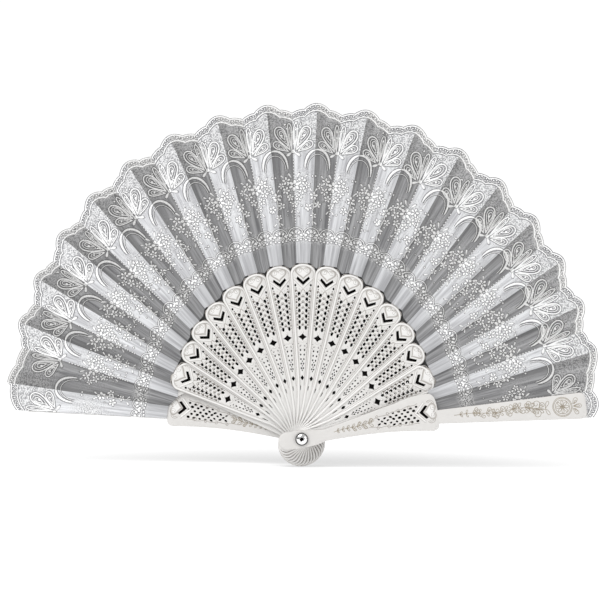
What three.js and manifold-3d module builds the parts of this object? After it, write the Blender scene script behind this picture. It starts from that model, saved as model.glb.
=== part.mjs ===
// A lace folding fan, fully open: nineteen blades on one rivet, with a pleated leaf glued to their ribs.
// Millimetres. The rivet's axis is the Y axis through the origin, the fan lies in the XZ plane, and its front is -Y.
import * as THREE from "three";
import { mergeVertices } from "three/addons/utils/BufferGeometryUtils.js";
import Module from "manifold-3d";

const wasm = await Module();
wasm.setup();

// Blades: angles are from straight up, positive to the right
const INNER_STICKS = 17;
const CENTRE_SPACING_DEG = 8.6;
const SPACING_GROWTH_DEG = 0.0056;
const GUARD_ANGLE_DEG = 82.2;
const BLADE_THICKNESS = 1.0;
const BLADE_GAP = 0.6;
const NECK_HALF_WIDTH = 3.2;
const BLADE_LAP = 0.3;
const HEAD_HALF_WIDTH = 5.5;
const HEAD_REACH = 16;
const HEAD_DROP = 4;

// Gorge: the pierced part of the blades below the leaf
const GORGE_SIDE_RADIUS = 97.1;
const GORGE_RISE = 26.2;
const GORGE_ROUNDNESS = 2.2;
const SCALLOP_HEIGHT = 7;
const PLAIN_STICK_DROP = 4;
const OUTER_STICK_REACH_DEG = 7.5;
const LEANING_REACH = 6.5;
const LEANING_STEP = 2;
const LEANING_RIB_ROOT = 4;

// Piercings of a blade, as shares of its gorge radius, and their sizes
const CHEVRON_AT = 0.913;
const CHEVRON_HALF_WIDTH = 4.6;
const CHEVRON_DROP = 3.9;
const CHEVRON_ARM = 2;
const STAR_AT = 0.58;
const STAR_HALF_WIDTH = 2.9;
const STAR_HALF_HEIGHT = 2.2;
const STAR_WAIST_SHARE = 0.35;
const DIAMOND_AT = 0.345;
const DIAMOND_HALF_WIDTH = 1.3;
const DIAMOND_HALF_HEIGHT = 1.6;
const UPPER_LATTICE = { from: 0.63, to: 0.84, rows: 4 };
const LOWER_LATTICE = { from: 0.4, to: 0.54, rows: 2 };
const LATTICE_BAR = 1.3;
const LATTICE_INSIDE_SHARE = 0.16;
const LATTICE_OUTSIDE_SHARE = 0.62;

// Ribs: the slim upper part of each blade, behind the leaf
const RIB_HALF_WIDTH = 3.2;
const RIB_THICKNESS = 0.5;
const RIB_ROOT = 6.5;
const PLAIN_RIB_ROOT = 12;
const RIB_TIP_SETBACK = 12;

// Leaf: one strip glued to each blade and one folding strip between each two blades
const LEAF_SIDE_RADIUS = 211.3;
const LEAF_RISE = 26.2;
const LEAF_ROUNDNESS = 1.3;
const LEAF_EDGE_STEP = 5.6;
const LEAF_THICKNESS = 0.4;
const GLUED_SPACING_DEG = 8.83;
const GLUED_HALF_WIDTH_DEG = 2.2;
const END_STRIP_HALF_WIDTH_DEG = 2.6;
const PLEAT_SLOPE = 0.2;
const PLEAT_EASE = 40;
const LEAF_NOTCH = 3.5;
const LEAF_CLEARANCE = 0.3;
const LEAF_GORGE_GAP = 0.5;
const END_FOLD_GAP = 2;
const PLAIN_FOLD_GAP = 0.5;

// Guards: the two thick outer blades
const GUARD_THICKNESS = 2.4;
const SHOULDER_RADIUS = 97;
const SHOULDER_INNER = 20.5;
const SHOULDER_OUTER = 6;
const SHOULDER_CORNER = 5;
const SHOULDER_SWEEP = 6.5;
const SWEEP_UP = 5;
const SWEEP_IN = 4.5;
const WEDGE_INNER = 16.3;
const WEDGE_RADIUS = 67;
const WAIST_RADIUS = 17;
const WAIST_INNER = 4.9;
const WAIST_OUTER = 3.4;
const HOLLOW_RADIUS = 46;
const HOLLOW_OUTER = 2.6;
const GUARD_PIERCING_MIDDLE = 8.2;
const GUARD_PIERCING_HALF_WIDTH = 8.4;
const GUARD_NECK_HALF_WIDTH = 6.2;
const GUARD_RIB_ROOT_HALF = 4.75;
const GUARD_RIB_TIP_HALF = 9.2;
const RIB_LEAN_AT_ROOT = 3.3;
const RIB_LEAN_AT_TIP = -1.4;
const GUARD_TIP_RADIUS = 200.6;
const BOW_STARTS = 60;
const BOW_ROOT = 100;
const BOW_RIB = 140;
const BOW_TIP = 215;
const FRONT_BOW_AT_ROOT = 1.0;
const FRONT_BOW_AT_RIB = 2.45;
const FRONT_BOW_AT_TIP = 3.35;
const BACK_BOW_AT_ROOT = 0;
const BACK_BOW_AT_RIB = 1.0;
const BACK_BOW_AT_TIP = 1.85;

// Rivet and washers
const PIN_RADIUS = 1.75;
const PIN_CLEARANCE = 0.3;
const RIVET_HEAD_RADIUS = 4.5;
const RIVET_DOME = 2;
const RIVET_RIM = 0.5;
const WASHER_RADIUS = 4.4;
const WASHER_THICKNESS = 0.5;
const CAP_THICKNESS = 1.1;
const SEAT_GAP = 0.3;

const ROUND_STEPS = 7;
const SAME_POINT = 1e-3;
const WELD = 1e-4;
const LATHE_STEPS = 26;
const LEAF_ROWS = 5;
const RIB_ROWS = 6;
const GLUED_COLUMNS = 2;
const END_COLUMNS = 6;
const FOLD_COLUMNS = 4;

const ivory = new THREE.MeshStandardMaterial({ color: 0xe8e5de, roughness: 0.42, metalness: 0 });
const glued = new THREE.MeshStandardMaterial({ color: 0xe4e8ee, roughness: 0.85, metalness: 0 });
const folded = new THREE.MeshStandardMaterial({ color: 0x98989b, roughness: 0.85, metalness: 0 });
const chrome = new THREE.MeshStandardMaterial({ color: 0xd2d2d2, roughness: 0.12, metalness: 1 });
const steel = new THREE.MeshStandardMaterial({ color: 0x8a8a88, roughness: 0.3, metalness: 1 });

const END = (INNER_STICKS + 1) / 2;
const LAYER = BLADE_THICKNESS + BLADE_GAP;
const { degToRad, lerp, smoothstep } = THREE.MathUtils;

// Blade number k runs from -END, the back guard, over 0, the middle stick, to END, the front guard.
function bladeAngle(k) {
  if (Math.abs(k) === END) return Math.sign(k) * degToRad(GUARD_ANGLE_DEG);
  return degToRad(CENTRE_SPACING_DEG * k + SPACING_GROWTH_DEG * k ** 3);
}

function stripAngle(k) {
  return Math.abs(k) === END ? bladeAngle(k) : degToRad(GLUED_SPACING_DEG * k);
}

function stripHalfWidth(k) {
  return degToRad(Math.abs(k) === END ? END_STRIP_HALF_WIDTH_DEG : GLUED_HALF_WIDTH_DEG);
}

function bladeLevel(k) {
  return -k * LAYER;
}

function gorgeRadius(k) {
  return GORGE_SIDE_RADIUS + GORGE_RISE * Math.cos(bladeAngle(k)) ** GORGE_ROUNDNESS;
}

function leafRadius(angle) {
  return LEAF_SIDE_RADIUS + LEAF_RISE * Math.cos(angle) ** LEAF_ROUNDNESS;
}

function ease(k, radius) {
  return smoothstep(radius, gorgeRadius(k), gorgeRadius(k) + PLEAT_EASE);
}

// How far the middle of a guard's rib lies from the guard's own line, towards the middle of the fan.
function ribLean(radius) {
  const share = (radius - SHOULDER_RADIUS) / (GUARD_TIP_RADIUS - SHOULDER_RADIUS);
  return lerp(RIB_LEAN_AT_ROOT, RIB_LEAN_AT_TIP, share);
}

// The angle by which the leaf's strip on blade k follows that lean, which only the guards have.
function stripLean(k, radius) {
  return Math.abs(k) === END ? (-Math.sign(k) * ribLean(radius)) / radius : 0;
}

// How far the guard k has bowed away from the stack at a radius.
function bow(k, radius) {
  const front = k === END;
  const stations = [
    [BOW_STARTS, 0],
    [BOW_ROOT, front ? FRONT_BOW_AT_ROOT : BACK_BOW_AT_ROOT],
    [BOW_RIB, front ? FRONT_BOW_AT_RIB : BACK_BOW_AT_RIB],
    [BOW_TIP, front ? FRONT_BOW_AT_TIP : BACK_BOW_AT_TIP],
  ];
  if (radius <= BOW_STARTS) return 0;
  const next = Math.max(1, stations.findIndex(([at]) => radius <= at));
  const [[startAt, start], [endAt, end]] = [stations[next - 1], stations[next]];
  return lerp(start, end, (radius - startAt) / (endAt - startAt));
}

// Where the middle of the leaf lies along Y, from the level of its blade, at a place beside the rib's axis.
function leafDepth(k, radius, beside) {
  const seat = LEAF_CLEARANCE + LEAF_THICKNESS / 2;
  if (k === END) return BLADE_THICKNESS / 2 - bow(k, radius) + seat;
  if (k === -END) return -BLADE_THICKNESS / 2 + bow(k, radius) - seat;
  return -RIB_THICKNESS / 2 - seat + PLEAT_SLOPE * ease(k, radius) * beside;
}

function solidOf(geometry) {
  const bare = geometry.clone();
  bare.deleteAttribute("normal");
  bare.deleteAttribute("uv");
  const merged = mergeVertices(bare, WELD);
  const vertProperties = new Float32Array(merged.attributes.position.array);
  const triVerts = new Uint32Array(merged.index.array);
  return new wasm.Manifold(new wasm.Mesh({ numProp: 3, vertProperties, triVerts }));
}

function geometryOf(solid) {
  const mesh = solid.getMesh();
  const geometry = new THREE.BufferGeometry();
  geometry.setAttribute("position", new THREE.BufferAttribute(mesh.vertProperties, 3));
  geometry.setIndex(new THREE.BufferAttribute(mesh.triVerts, 1));
  const faceted = geometry.toNonIndexed();
  faceted.computeVertexNormals();
  return faceted;
}

// The corners of a closed path, without doubled points and points along a straight side.
function cornersOf(path) {
  const points = path.getPoints(ROUND_STEPS);
  const apart = points.filter((point, n) => point.distanceTo(points.at(n - 1)) > SAME_POINT);
  return apart.filter((point, n) => {
    const before = point.clone().sub(apart.at(n - 1));
    const after = apart[(n + 1) % apart.length].clone().sub(point);
    return Math.abs(before.cross(after)) > SAME_POINT * before.length();
  });
}

// A flat plate in the XZ plane, with its back face at a given Y.
function plate(path, thickness, back) {
  const outline = new THREE.Shape(cornersOf(path));
  const geometry = new THREE.ExtrudeGeometry(outline, { depth: thickness, bevelEnabled: false });
  return solidOf(geometry.rotateX(Math.PI / 2).translate(0, back, 0));
}

function cutThrough(solid, holes, depth) {
  return holes.reduce((rest, hole) => rest.subtract(plate(hole, depth, depth / 2)), solid);
}

// A thin sheet over point(u, v), with its thickness along Y, closed on all sides.
function sheet(point, columns, rows, thickness) {
  const positions = [];
  for (const side of [-0.5, 0.5]) {
    for (let row = 0; row <= rows; row++) {
      for (let column = 0; column <= columns; column++) {
        const [x, y, z] = point(column / columns, row / rows);
        positions.push(x, y + side * thickness, z);
      }
    }
  }
  const layer = (columns + 1) * (rows + 1);
  const at = (column, row) => row * (columns + 1) + column;
  const faces = [];
  for (let row = 0; row < rows; row++) {
    for (let column = 0; column < columns; column++) {
      const low = [at(column, row), at(column + 1, row)];
      const high = [at(column, row + 1), at(column + 1, row + 1)];
      faces.push(low[0], low[1], high[1], low[0], high[1], high[0]);
      const back = [...low, ...high].map((n) => n + layer);
      faces.push(back[0], back[3], back[1], back[0], back[2], back[3]);
    }
  }
  const rim = [];
  for (let column = 0; column < columns; column++) rim.push(at(column, 0));
  for (let row = 0; row < rows; row++) rim.push(at(columns, row));
  for (let column = columns; column > 0; column--) rim.push(at(column, rows));
  for (let row = rows; row > 0; row--) rim.push(at(0, row));
  rim.forEach((here, n) => {
    const next = rim[(n + 1) % rim.length];
    faces.push(here, here + layer, next + layer, here, next + layer, next);
  });
  const geometry = new THREE.BufferGeometry();
  geometry.setAttribute("position", new THREE.Float32BufferAttribute(positions, 3));
  geometry.setIndex(faces);
  return geometry;
}

// The sticks beside the guards are plain and slim, and hidden by the guards or their other neighbours.
function isPlain(k) {
  return Math.abs(k) === END - 1;
}

// How far a stick reaches to a side, -1 or 1, at a radius. Its sides lie along the middle lines to its
// neighbours, down to the neck, but the last pierced stick on each side reaches out over the plain one.
function bladeReach(k, radius, side) {
  if (isPlain(k)) return NECK_HALF_WIDTH;
  const outermost = isPlain(k + side);
  const spread = outermost ? degToRad(OUTER_STICK_REACH_DEG) : (bladeAngle(k + 1) - bladeAngle(k - 1)) / 4;
  return Math.max(NECK_HALF_WIDTH, radius * Math.sin(spread) + BLADE_LAP);
}

function bladeHalfWidth(k, radius) {
  return (bladeReach(k, radius, -1) + bladeReach(k, radius, 1)) / 2;
}

// Where the middle of a stick's visible width lies beside its own line.
function bladeMiddle(k, radius) {
  return (bladeReach(k, radius, 1) - bladeReach(k, radius, -1)) / 2;
}

function headReach(k) {
  return HEAD_REACH + HEAD_DROP * Math.cos(bladeAngle(k));
}

// The plain stick beside the back guard leans in behind its pierced neighbour and steps back out to its rib.
function isLeaning(k) {
  return k === 1 - END;
}

function pinHole() {
  const hole = new THREE.Path();
  hole.absarc(0, 0, PIN_RADIUS + PIN_CLEARANCE, 0, Math.PI * 2, true);
  return hole;
}

function stickOutline(k, top) {
  const shoulder = top - SCALLOP_HEIGHT;
  const neckTop = (side) => ((NECK_HALF_WIDTH - BLADE_LAP) * shoulder) / (bladeReach(k, shoulder, side) - BLADE_LAP);
  const shape = new THREE.Shape();
  if (isLeaning(k)) shape.moveTo(LEANING_REACH - NECK_HALF_WIDTH, shoulder);
  else shape.moveTo(-NECK_HALF_WIDTH, neckTop(-1));
  shape.lineTo(-HEAD_HALF_WIDTH, 0);
  shape.absellipse(0, HEAD_HALF_WIDTH - headReach(k), HEAD_HALF_WIDTH, HEAD_HALF_WIDTH, Math.PI, Math.PI * 2);
  shape.lineTo(HEAD_HALF_WIDTH, 0);
  if (isLeaning(k)) {
    shape.lineTo(LEANING_REACH + NECK_HALF_WIDTH, shoulder);
    shape.lineTo(NECK_HALF_WIDTH, top + LEANING_STEP);
    shape.lineTo(-NECK_HALF_WIDTH, top);
    return shape;
  }
  shape.lineTo(NECK_HALF_WIDTH, neckTop(1));
  shape.lineTo(bladeReach(k, shoulder, 1), shoulder);
  const scallop = [bladeHalfWidth(k, shoulder), SCALLOP_HEIGHT];
  shape.absellipse(bladeMiddle(k, shoulder), shoulder, ...scallop, 0, Math.PI);
  return shape;
}

function polygonHole(points) {
  return new THREE.Path(points.map(([x, z]) => new THREE.Vector2(x, z)));
}

const COMPASS = [[1, 0], [0, 1], [-1, 0], [0, -1]];

function diamondHole(radius, middle) {
  const half = [DIAMOND_HALF_WIDTH, DIAMOND_HALF_HEIGHT];
  return polygonHole(COMPASS.map(([x, z]) => [middle + x * half[0], radius + z * half[1]]));
}

function starHole(radius, middle) {
  const half = [STAR_HALF_WIDTH, STAR_HALF_HEIGHT];
  const points = COMPASS.flatMap(([x, z]) => [
    [middle + x * half[0], radius + z * half[1]],
    [middle + (x - z) * half[0] * STAR_WAIST_SHARE, radius + (x + z) * half[1] * STAR_WAIST_SHARE],
  ]);
  return polygonHole(points);
}

function chevronHole(radius, middle) {
  return polygonHole([
    [middle - CHEVRON_HALF_WIDTH, radius],
    [middle, radius - CHEVRON_DROP],
    [middle + CHEVRON_HALF_WIDTH, radius],
    [middle + CHEVRON_HALF_WIDTH, radius + CHEVRON_ARM],
    [middle, radius - CHEVRON_DROP + CHEVRON_ARM],
    [middle - CHEVRON_HALF_WIDTH, radius + CHEVRON_ARM],
  ]);
}

// Openings either side of the line middleAt(radius), where halfWidthAt(radius) is how far the blade reaches.
function latticeHoles(top, lattice, halfWidthAt, middleAt) {
  const holes = [];
  const step = ((lattice.to - lattice.from) * top) / lattice.rows;
  for (let row = 0; row < lattice.rows; row++) {
    const low = lattice.from * top + row * step + LATTICE_BAR / 2;
    const high = low + step - LATTICE_BAR;
    for (const side of [-1, 1]) {
      const corner = (share, radius) => [middleAt(radius) + side * share * halfWidthAt(radius), radius];
      holes.push(
        polygonHole([
          corner(LATTICE_INSIDE_SHARE, low),
          corner(LATTICE_OUTSIDE_SHARE, low),
          corner(LATTICE_OUTSIDE_SHARE, high),
          corner(LATTICE_INSIDE_SHARE, high),
        ]),
      );
    }
  }
  return holes;
}

// How far below its gorge radius a stick's rib starts, which is above the piercings of a pierced stick.
function ribRoot(k) {
  if (isLeaning(k)) return LEANING_RIB_ROOT;
  return isPlain(k) ? PLAIN_RIB_ROOT : RIB_ROOT;
}

function ribGeometry(k) {
  const root = gorgeRadius(k) - ribRoot(k);
  const tip = leafRadius(bladeAngle(k)) - RIB_TIP_SETBACK;
  const point = (u, v) => {
    const x = lerp(-RIB_HALF_WIDTH, RIB_HALF_WIDTH, u);
    const radius = lerp(root, tip, v);
    return [x, PLEAT_SLOPE * ease(k, radius) * x, radius];
  };
  return sheet(point, 1, RIB_ROWS, RIB_THICKNESS);
}

function stickGeometry(k) {
  const top = gorgeRadius(k) - (isPlain(k) ? PLAIN_STICK_DROP : 0);
  const holes = [pinHole()];
  if (!isPlain(k)) {
    const middleAt = (radius) => bladeMiddle(k, radius);
    const halfWidthAt = (radius) => bladeHalfWidth(k, radius);
    const singles = [[chevronHole, CHEVRON_AT], [starHole, STAR_AT], [diamondHole, DIAMOND_AT]];
    for (const [hole, at] of singles) holes.push(hole(at * top, middleAt(at * top)));
    for (const lattice of [UPPER_LATTICE, LOWER_LATTICE]) {
      holes.push(...latticeHoles(top, lattice, halfWidthAt, middleAt));
    }
  }
  const blade = plate(stickOutline(k, top), BLADE_THICKNESS, BLADE_THICKNESS / 2);
  return geometryOf(cutThrough(blade, holes, 2 * BLADE_THICKNESS).add(solidOf(ribGeometry(k))));
}

// A guard seen from the front, with its wide shoulder towards the middle of the fan: inner is -1 or 1 along X.
function guardOutline(k) {
  const inner = -Math.sign(k);
  const x = (towardsInner) => inner * towardsInner;
  const corner = SHOULDER_CORNER;
  const headMiddle = GUARD_NECK_HALF_WIDTH - headReach(k);
  const [root, tip] = [ribLean(SHOULDER_RADIUS), ribLean(GUARD_TIP_RADIUS)];
  const [tipInner, tipOuter] = [tip + GUARD_RIB_TIP_HALF, tip - GUARD_RIB_TIP_HALF];
  const shape = new THREE.Shape();
  shape.moveTo(x(GUARD_NECK_HALF_WIDTH), 0);
  shape.quadraticCurveTo(x(WAIST_INNER), WAIST_RADIUS / 2, x(WAIST_INNER), WAIST_RADIUS);
  shape.lineTo(x(WEDGE_INNER), WEDGE_RADIUS);
  shape.quadraticCurveTo(
    x(SHOULDER_INNER), (WEDGE_RADIUS + SHOULDER_RADIUS - SHOULDER_SWEEP) / 2,
    x(SHOULDER_INNER), SHOULDER_RADIUS - SHOULDER_SWEEP,
  );
  shape.bezierCurveTo(
    x(SHOULDER_INNER), SHOULDER_RADIUS - SHOULDER_SWEEP + SWEEP_UP,
    x(SHOULDER_INNER - SWEEP_IN), SHOULDER_RADIUS,
    x(root + GUARD_RIB_ROOT_HALF), SHOULDER_RADIUS,
  );
  const tipRound = GUARD_RIB_TIP_HALF / 2;
  shape.lineTo(x(tipInner), GUARD_TIP_RADIUS - tipRound);
  shape.quadraticCurveTo(x(tipInner), GUARD_TIP_RADIUS, x(tipInner - tipRound), GUARD_TIP_RADIUS);
  shape.lineTo(x(tipOuter + tipRound), GUARD_TIP_RADIUS);
  shape.quadraticCurveTo(x(tipOuter), GUARD_TIP_RADIUS, x(tipOuter), GUARD_TIP_RADIUS - tipRound);
  shape.lineTo(x(root - GUARD_RIB_ROOT_HALF), SHOULDER_RADIUS);
  shape.quadraticCurveTo(x(-SHOULDER_OUTER), SHOULDER_RADIUS, x(-SHOULDER_OUTER), SHOULDER_RADIUS - corner);
  shape.quadraticCurveTo(
    x(-HOLLOW_OUTER), (SHOULDER_RADIUS - corner + HOLLOW_RADIUS) / 2,
    x(-HOLLOW_OUTER), HOLLOW_RADIUS,
  );
  shape.quadraticCurveTo(x(-HOLLOW_OUTER), (HOLLOW_RADIUS + WAIST_RADIUS) / 2, x(-WAIST_OUTER), WAIST_RADIUS);
  shape.quadraticCurveTo(x(-GUARD_NECK_HALF_WIDTH), WAIST_RADIUS / 2, x(-GUARD_NECK_HALF_WIDTH), 0);
  for (let n = 0; n <= ROUND_STEPS; n++) {
    const turn = (Math.PI * n) / ROUND_STEPS;
    const across = GUARD_NECK_HALF_WIDTH * Math.cos(turn);
    shape.lineTo(x(-across), headMiddle - GUARD_NECK_HALF_WIDTH * Math.sin(turn));
  }
  return shape;
}

// The side view of a guard: a strip of even thickness that leans away from the stack above the gorge.
function bowedStrip(k) {
  const side = k === END ? -1 : 1;
  const stations = [-GUARD_TIP_RADIUS, BOW_STARTS, BOW_ROOT, BOW_RIB, BOW_TIP];
  const inside = stations.map((radius) => [
    side * (bow(k, radius) - BLADE_THICKNESS / 2),
    radius,
  ]);
  const outside = inside.map(([y, radius]) => [y + side * GUARD_THICKNESS, radius]);
  const points = [...inside, ...outside.reverse()].map(([y, z]) => new THREE.Vector2(y, z));
  const width = 4 * SHOULDER_INNER;
  const geometry = new THREE.ExtrudeGeometry(new THREE.Shape(points), { depth: width, bevelEnabled: false });
  const toSide = new THREE.Matrix4().makeBasis(
    new THREE.Vector3(0, 1, 0),
    new THREE.Vector3(0, 0, 1),
    new THREE.Vector3(1, 0, 0),
  );
  return geometry.applyMatrix4(toSide).translate(-width / 2, 0, 0);
}

function guardGeometry(k) {
  const depth = 8 * GUARD_THICKNESS;
  const middleAt = (radius) => (-Math.sign(k) * GUARD_PIERCING_MIDDLE * radius) / SHOULDER_RADIUS;
  const halfWidthAt = (radius) => (GUARD_PIERCING_HALF_WIDTH * radius) / SHOULDER_RADIUS;
  const chevronRadius = CHEVRON_AT * SHOULDER_RADIUS;
  const holes = [pinHole(), chevronHole(chevronRadius, middleAt(chevronRadius))];
  holes.push(...latticeHoles(SHOULDER_RADIUS, UPPER_LATTICE, halfWidthAt, middleAt));
  const silhouette = cutThrough(plate(guardOutline(k), depth, depth / 2), holes, 2 * depth);
  return geometryOf(silhouette.intersect(solidOf(bowedStrip(k))));
}

// How far the outer edge of a glued strip has dropped, as a share: the last strips have rounded ends.
function edgeDrop(k, u) {
  if (Math.abs(k) !== END) return 1 - u;
  return (1 - u) ** 3 + (k === END ? u ** 3 : 0);
}

// A strip of the leaf that is glued to blade k, in that blade's own frame.
function gluedStrip(k) {
  const middle = stripAngle(k) - bladeAngle(k);
  const half = stripHalfWidth(k);
  const low = gorgeRadius(k) + LEAF_GORGE_GAP;
  const point = (u, v) => {
    const beside = middle + lerp(-half, half, u);
    const high = leafRadius(bladeAngle(k) + beside) - LEAF_EDGE_STEP * edgeDrop(k, u);
    const radius = lerp(low, high, v);
    const angle = beside + stripLean(k, radius);
    const x = radius * Math.sin(angle);
    return [x, leafDepth(k, radius, x), radius * Math.cos(angle)];
  };
  const columns = Math.abs(k) === END ? END_COLUMNS : GLUED_COLUMNS;
  return sheet(point, columns, LEAF_ROWS, LEAF_THICKNESS);
}

// The strip that folds between blade k and the next one, in the frame of blade k.
function foldingStrip(k) {
  const next = k + 1;
  const ends = [k, next].map(Math.abs);
  const turn = bladeAngle(next) - bladeAngle(k);
  const leftEdge = stripAngle(k) + stripHalfWidth(k) - bladeAngle(k);
  const rightEdge = stripAngle(next) - stripHalfWidth(next) - bladeAngle(k);
  let rise = -LEAF_NOTCH;
  if (ends.includes(END)) rise = END_FOLD_GAP;
  else if (isPlain(k) || isPlain(next)) rise = PLAIN_FOLD_GAP;
  const between = Math.max(gorgeRadius(k), gorgeRadius(next)) + rise;
  const point = (u, v) => {
    const side = Math.abs(2 * u - 1);
    const low = lerp(between, gorgeRadius(u < 0.5 ? k : next), side) + LEAF_GORGE_GAP;
    const middle = lerp(leftEdge, rightEdge, u);
    const high = leafRadius(bladeAngle(k) + middle) - LEAF_EDGE_STEP * u;
    const radius = lerp(low, high, v);
    const lean = lerp(stripLean(k, radius), stripLean(next, radius), u);
    const angle = middle + lean + ((0.5 - u) * 2 * LEAF_CLEARANCE) / radius;
    const leftDepth = leafDepth(k, radius, radius * Math.sin(leftEdge));
    const rightDepth = leafDepth(next, radius, radius * Math.sin(rightEdge - turn)) - LAYER;
    return [radius * Math.sin(angle), lerp(leftDepth, rightDepth, u), radius * Math.cos(angle)];
  };
  return sheet(point, FOLD_COLUMNS, LEAF_ROWS, LEAF_THICKNESS);
}

// Rivet: the pin with its dome in front, the cap that closes it behind, and a washer under each
const STACK_HALF = END * LAYER - BLADE_THICKNESS / 2 + GUARD_THICKNESS;
const WASHER_IN = STACK_HALF + SEAT_GAP;
const HEAD_IN = WASHER_IN + WASHER_THICKNESS + SEAT_GAP;

function pinGeometry() {
  const outline = [new THREE.Vector2(0, HEAD_IN + CAP_THICKNESS)];
  outline.push(new THREE.Vector2(PIN_RADIUS, HEAD_IN + CAP_THICKNESS));
  outline.push(new THREE.Vector2(PIN_RADIUS, -HEAD_IN));
  outline.push(new THREE.Vector2(RIVET_HEAD_RADIUS, -HEAD_IN));
  for (let n = 0; n <= ROUND_STEPS; n++) {
    const turn = (Math.PI / 2) * (n / ROUND_STEPS);
    const radius = n === ROUND_STEPS ? 0 : RIVET_HEAD_RADIUS * Math.cos(turn);
    outline.push(new THREE.Vector2(radius, -HEAD_IN - RIVET_RIM - RIVET_DOME * Math.sin(turn)));
  }
  return new THREE.LatheGeometry(outline.reverse(), LATHE_STEPS);
}

// A flat ring round the pin, from one Y to another.
function ringGeometry(radius, low, high) {
  const bore = PIN_RADIUS + PIN_CLEARANCE;
  const corners = [[bore, low], [radius, low], [radius, high], [bore, high], [bore, low]];
  return new THREE.LatheGeometry(corners.map(([x, y]) => new THREE.Vector2(x, y)), LATHE_STEPS);
}

const fan = new THREE.Group();

function add(parent, name, geometry, material) {
  const mesh = new THREE.Mesh(geometry, material);
  mesh.name = name;
  parent.add(mesh);
}

const twoDigits = (number) => String(number).padStart(2, "0");

// Each blade is a group at its own level and angle, holding the blade and its strips of the leaf.
for (let k = -END; k <= END; k++) {
  const blade = new THREE.Group();
  blade.position.y = bladeLevel(k);
  blade.rotation.y = bladeAngle(k);
  if (k === -END) add(blade, "guard_back", guardGeometry(k), ivory);
  else if (k === END) add(blade, "guard_front", guardGeometry(k), ivory);
  else add(blade, `stick_${twoDigits(k + END)}`, stickGeometry(k), ivory);
  add(blade, `leaf_panel_${twoDigits(k + END + 1)}`, gluedStrip(k), glued);
  if (k < END) add(blade, `leaf_fold_${twoDigits(k + END + 1)}`, foldingStrip(k), folded);
  fan.add(blade);
}

add(fan, "rivet_pin", pinGeometry(), chrome);
add(fan, "washer_front", ringGeometry(WASHER_RADIUS, -WASHER_IN - WASHER_THICKNESS, -WASHER_IN), steel);
add(fan, "washer_back", ringGeometry(WASHER_RADIUS, WASHER_IN, WASHER_IN + WASHER_THICKNESS), steel);
add(fan, "rivet_cap", ringGeometry(RIVET_HEAD_RADIUS, HEAD_IN, HEAD_IN + CAP_THICKNESS), chrome);

export default fan;
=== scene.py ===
"""A lace folding fan, dressed round its CAD frame: carved sticks, guards, rivet, pleated leaf and lace."""

import math

import bmesh
import bpy
import numpy as np
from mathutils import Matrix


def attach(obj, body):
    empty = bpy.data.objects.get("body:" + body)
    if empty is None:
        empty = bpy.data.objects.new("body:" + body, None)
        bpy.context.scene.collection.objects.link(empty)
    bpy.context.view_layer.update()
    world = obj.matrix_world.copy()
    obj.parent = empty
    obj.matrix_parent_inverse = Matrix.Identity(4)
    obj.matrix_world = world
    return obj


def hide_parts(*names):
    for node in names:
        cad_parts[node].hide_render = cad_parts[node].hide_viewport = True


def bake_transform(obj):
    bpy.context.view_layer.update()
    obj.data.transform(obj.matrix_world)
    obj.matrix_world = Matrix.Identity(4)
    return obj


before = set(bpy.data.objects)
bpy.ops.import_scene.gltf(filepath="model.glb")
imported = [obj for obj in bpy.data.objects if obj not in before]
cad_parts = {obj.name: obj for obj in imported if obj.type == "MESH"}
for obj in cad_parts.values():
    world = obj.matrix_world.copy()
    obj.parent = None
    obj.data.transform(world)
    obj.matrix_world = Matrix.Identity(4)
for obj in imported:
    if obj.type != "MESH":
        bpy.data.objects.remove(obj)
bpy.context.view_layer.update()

# Sizes of the CAD model, in millimetres and degrees
END = 9
CENTRE_SPACING_DEG = 8.6
SPACING_GROWTH_DEG = 0.0056
GUARD_ANGLE_DEG = 82.2
BLADE_THICKNESS = 1.0
LAYER = 1.6
NECK_HALF_WIDTH = 3.2
BLADE_LAP = 0.3
HEAD_HALF_WIDTH = 5.5
HEAD_REACH = 16
HEAD_DROP = 4
GORGE_SIDE_RADIUS = 97.1
GORGE_RISE = 26.2
GORGE_ROUNDNESS = 2.2
SCALLOP_HEIGHT = 7
PLAIN_STICK_DROP = 4
OUTER_STICK_REACH_DEG = 7.5
LEANING_REACH = 6.5
LEANING_STEP = 2
LEANING_RIB_ROOT = 4
RIB_HALF_WIDTH = 3.2
RIB_THICKNESS = 0.5
RIB_ROOT = 6.5
PLAIN_RIB_ROOT = 12
RIB_TIP_SETBACK = 12
LEAF_SIDE_RADIUS = 211.3
LEAF_RISE = 26.2
LEAF_ROUNDNESS = 1.3
LEAF_EDGE_STEP = 5.6
LEAF_THICKNESS = 0.4
GLUED_SPACING_DEG = 8.83
GLUED_HALF_WIDTH_DEG = 2.2
END_STRIP_HALF_WIDTH_DEG = 2.6
PLEAT_SLOPE = 0.2
PLEAT_EASE = 40
LEAF_NOTCH = 3.5
LEAF_CLEARANCE = 0.3
LEAF_GORGE_GAP = 0.5
PLAIN_FOLD_GAP = 0.5
GUARD_THICKNESS = 2.4
SHOULDER_RADIUS = 97
SHOULDER_INNER = 20.5
SHOULDER_OUTER = 6
SHOULDER_CORNER = 5
SHOULDER_SWEEP = 6.5
SWEEP_UP = 5
SWEEP_IN = 4.5
WEDGE_INNER = 16.3
WEDGE_RADIUS = 67
WAIST_RADIUS = 17
WAIST_INNER = 4.9
WAIST_OUTER = 3.4
HOLLOW_RADIUS = 46
HOLLOW_OUTER = 2.6
GUARD_NECK_HALF_WIDTH = 6.2
GUARD_RIB_ROOT_HALF = 4.75
GUARD_RIB_TIP_HALF = 9.2
RIB_LEAN_AT_ROOT = 3.3
RIB_LEAN_AT_TIP = -1.4
GUARD_TIP_RADIUS = 200.6
GUARD_PIERCING_MIDDLE = 8.2
BOW_AT = [60, 100, 140, 215]
FRONT_BOW = [0, 1.0, 2.45, 3.35]
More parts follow.
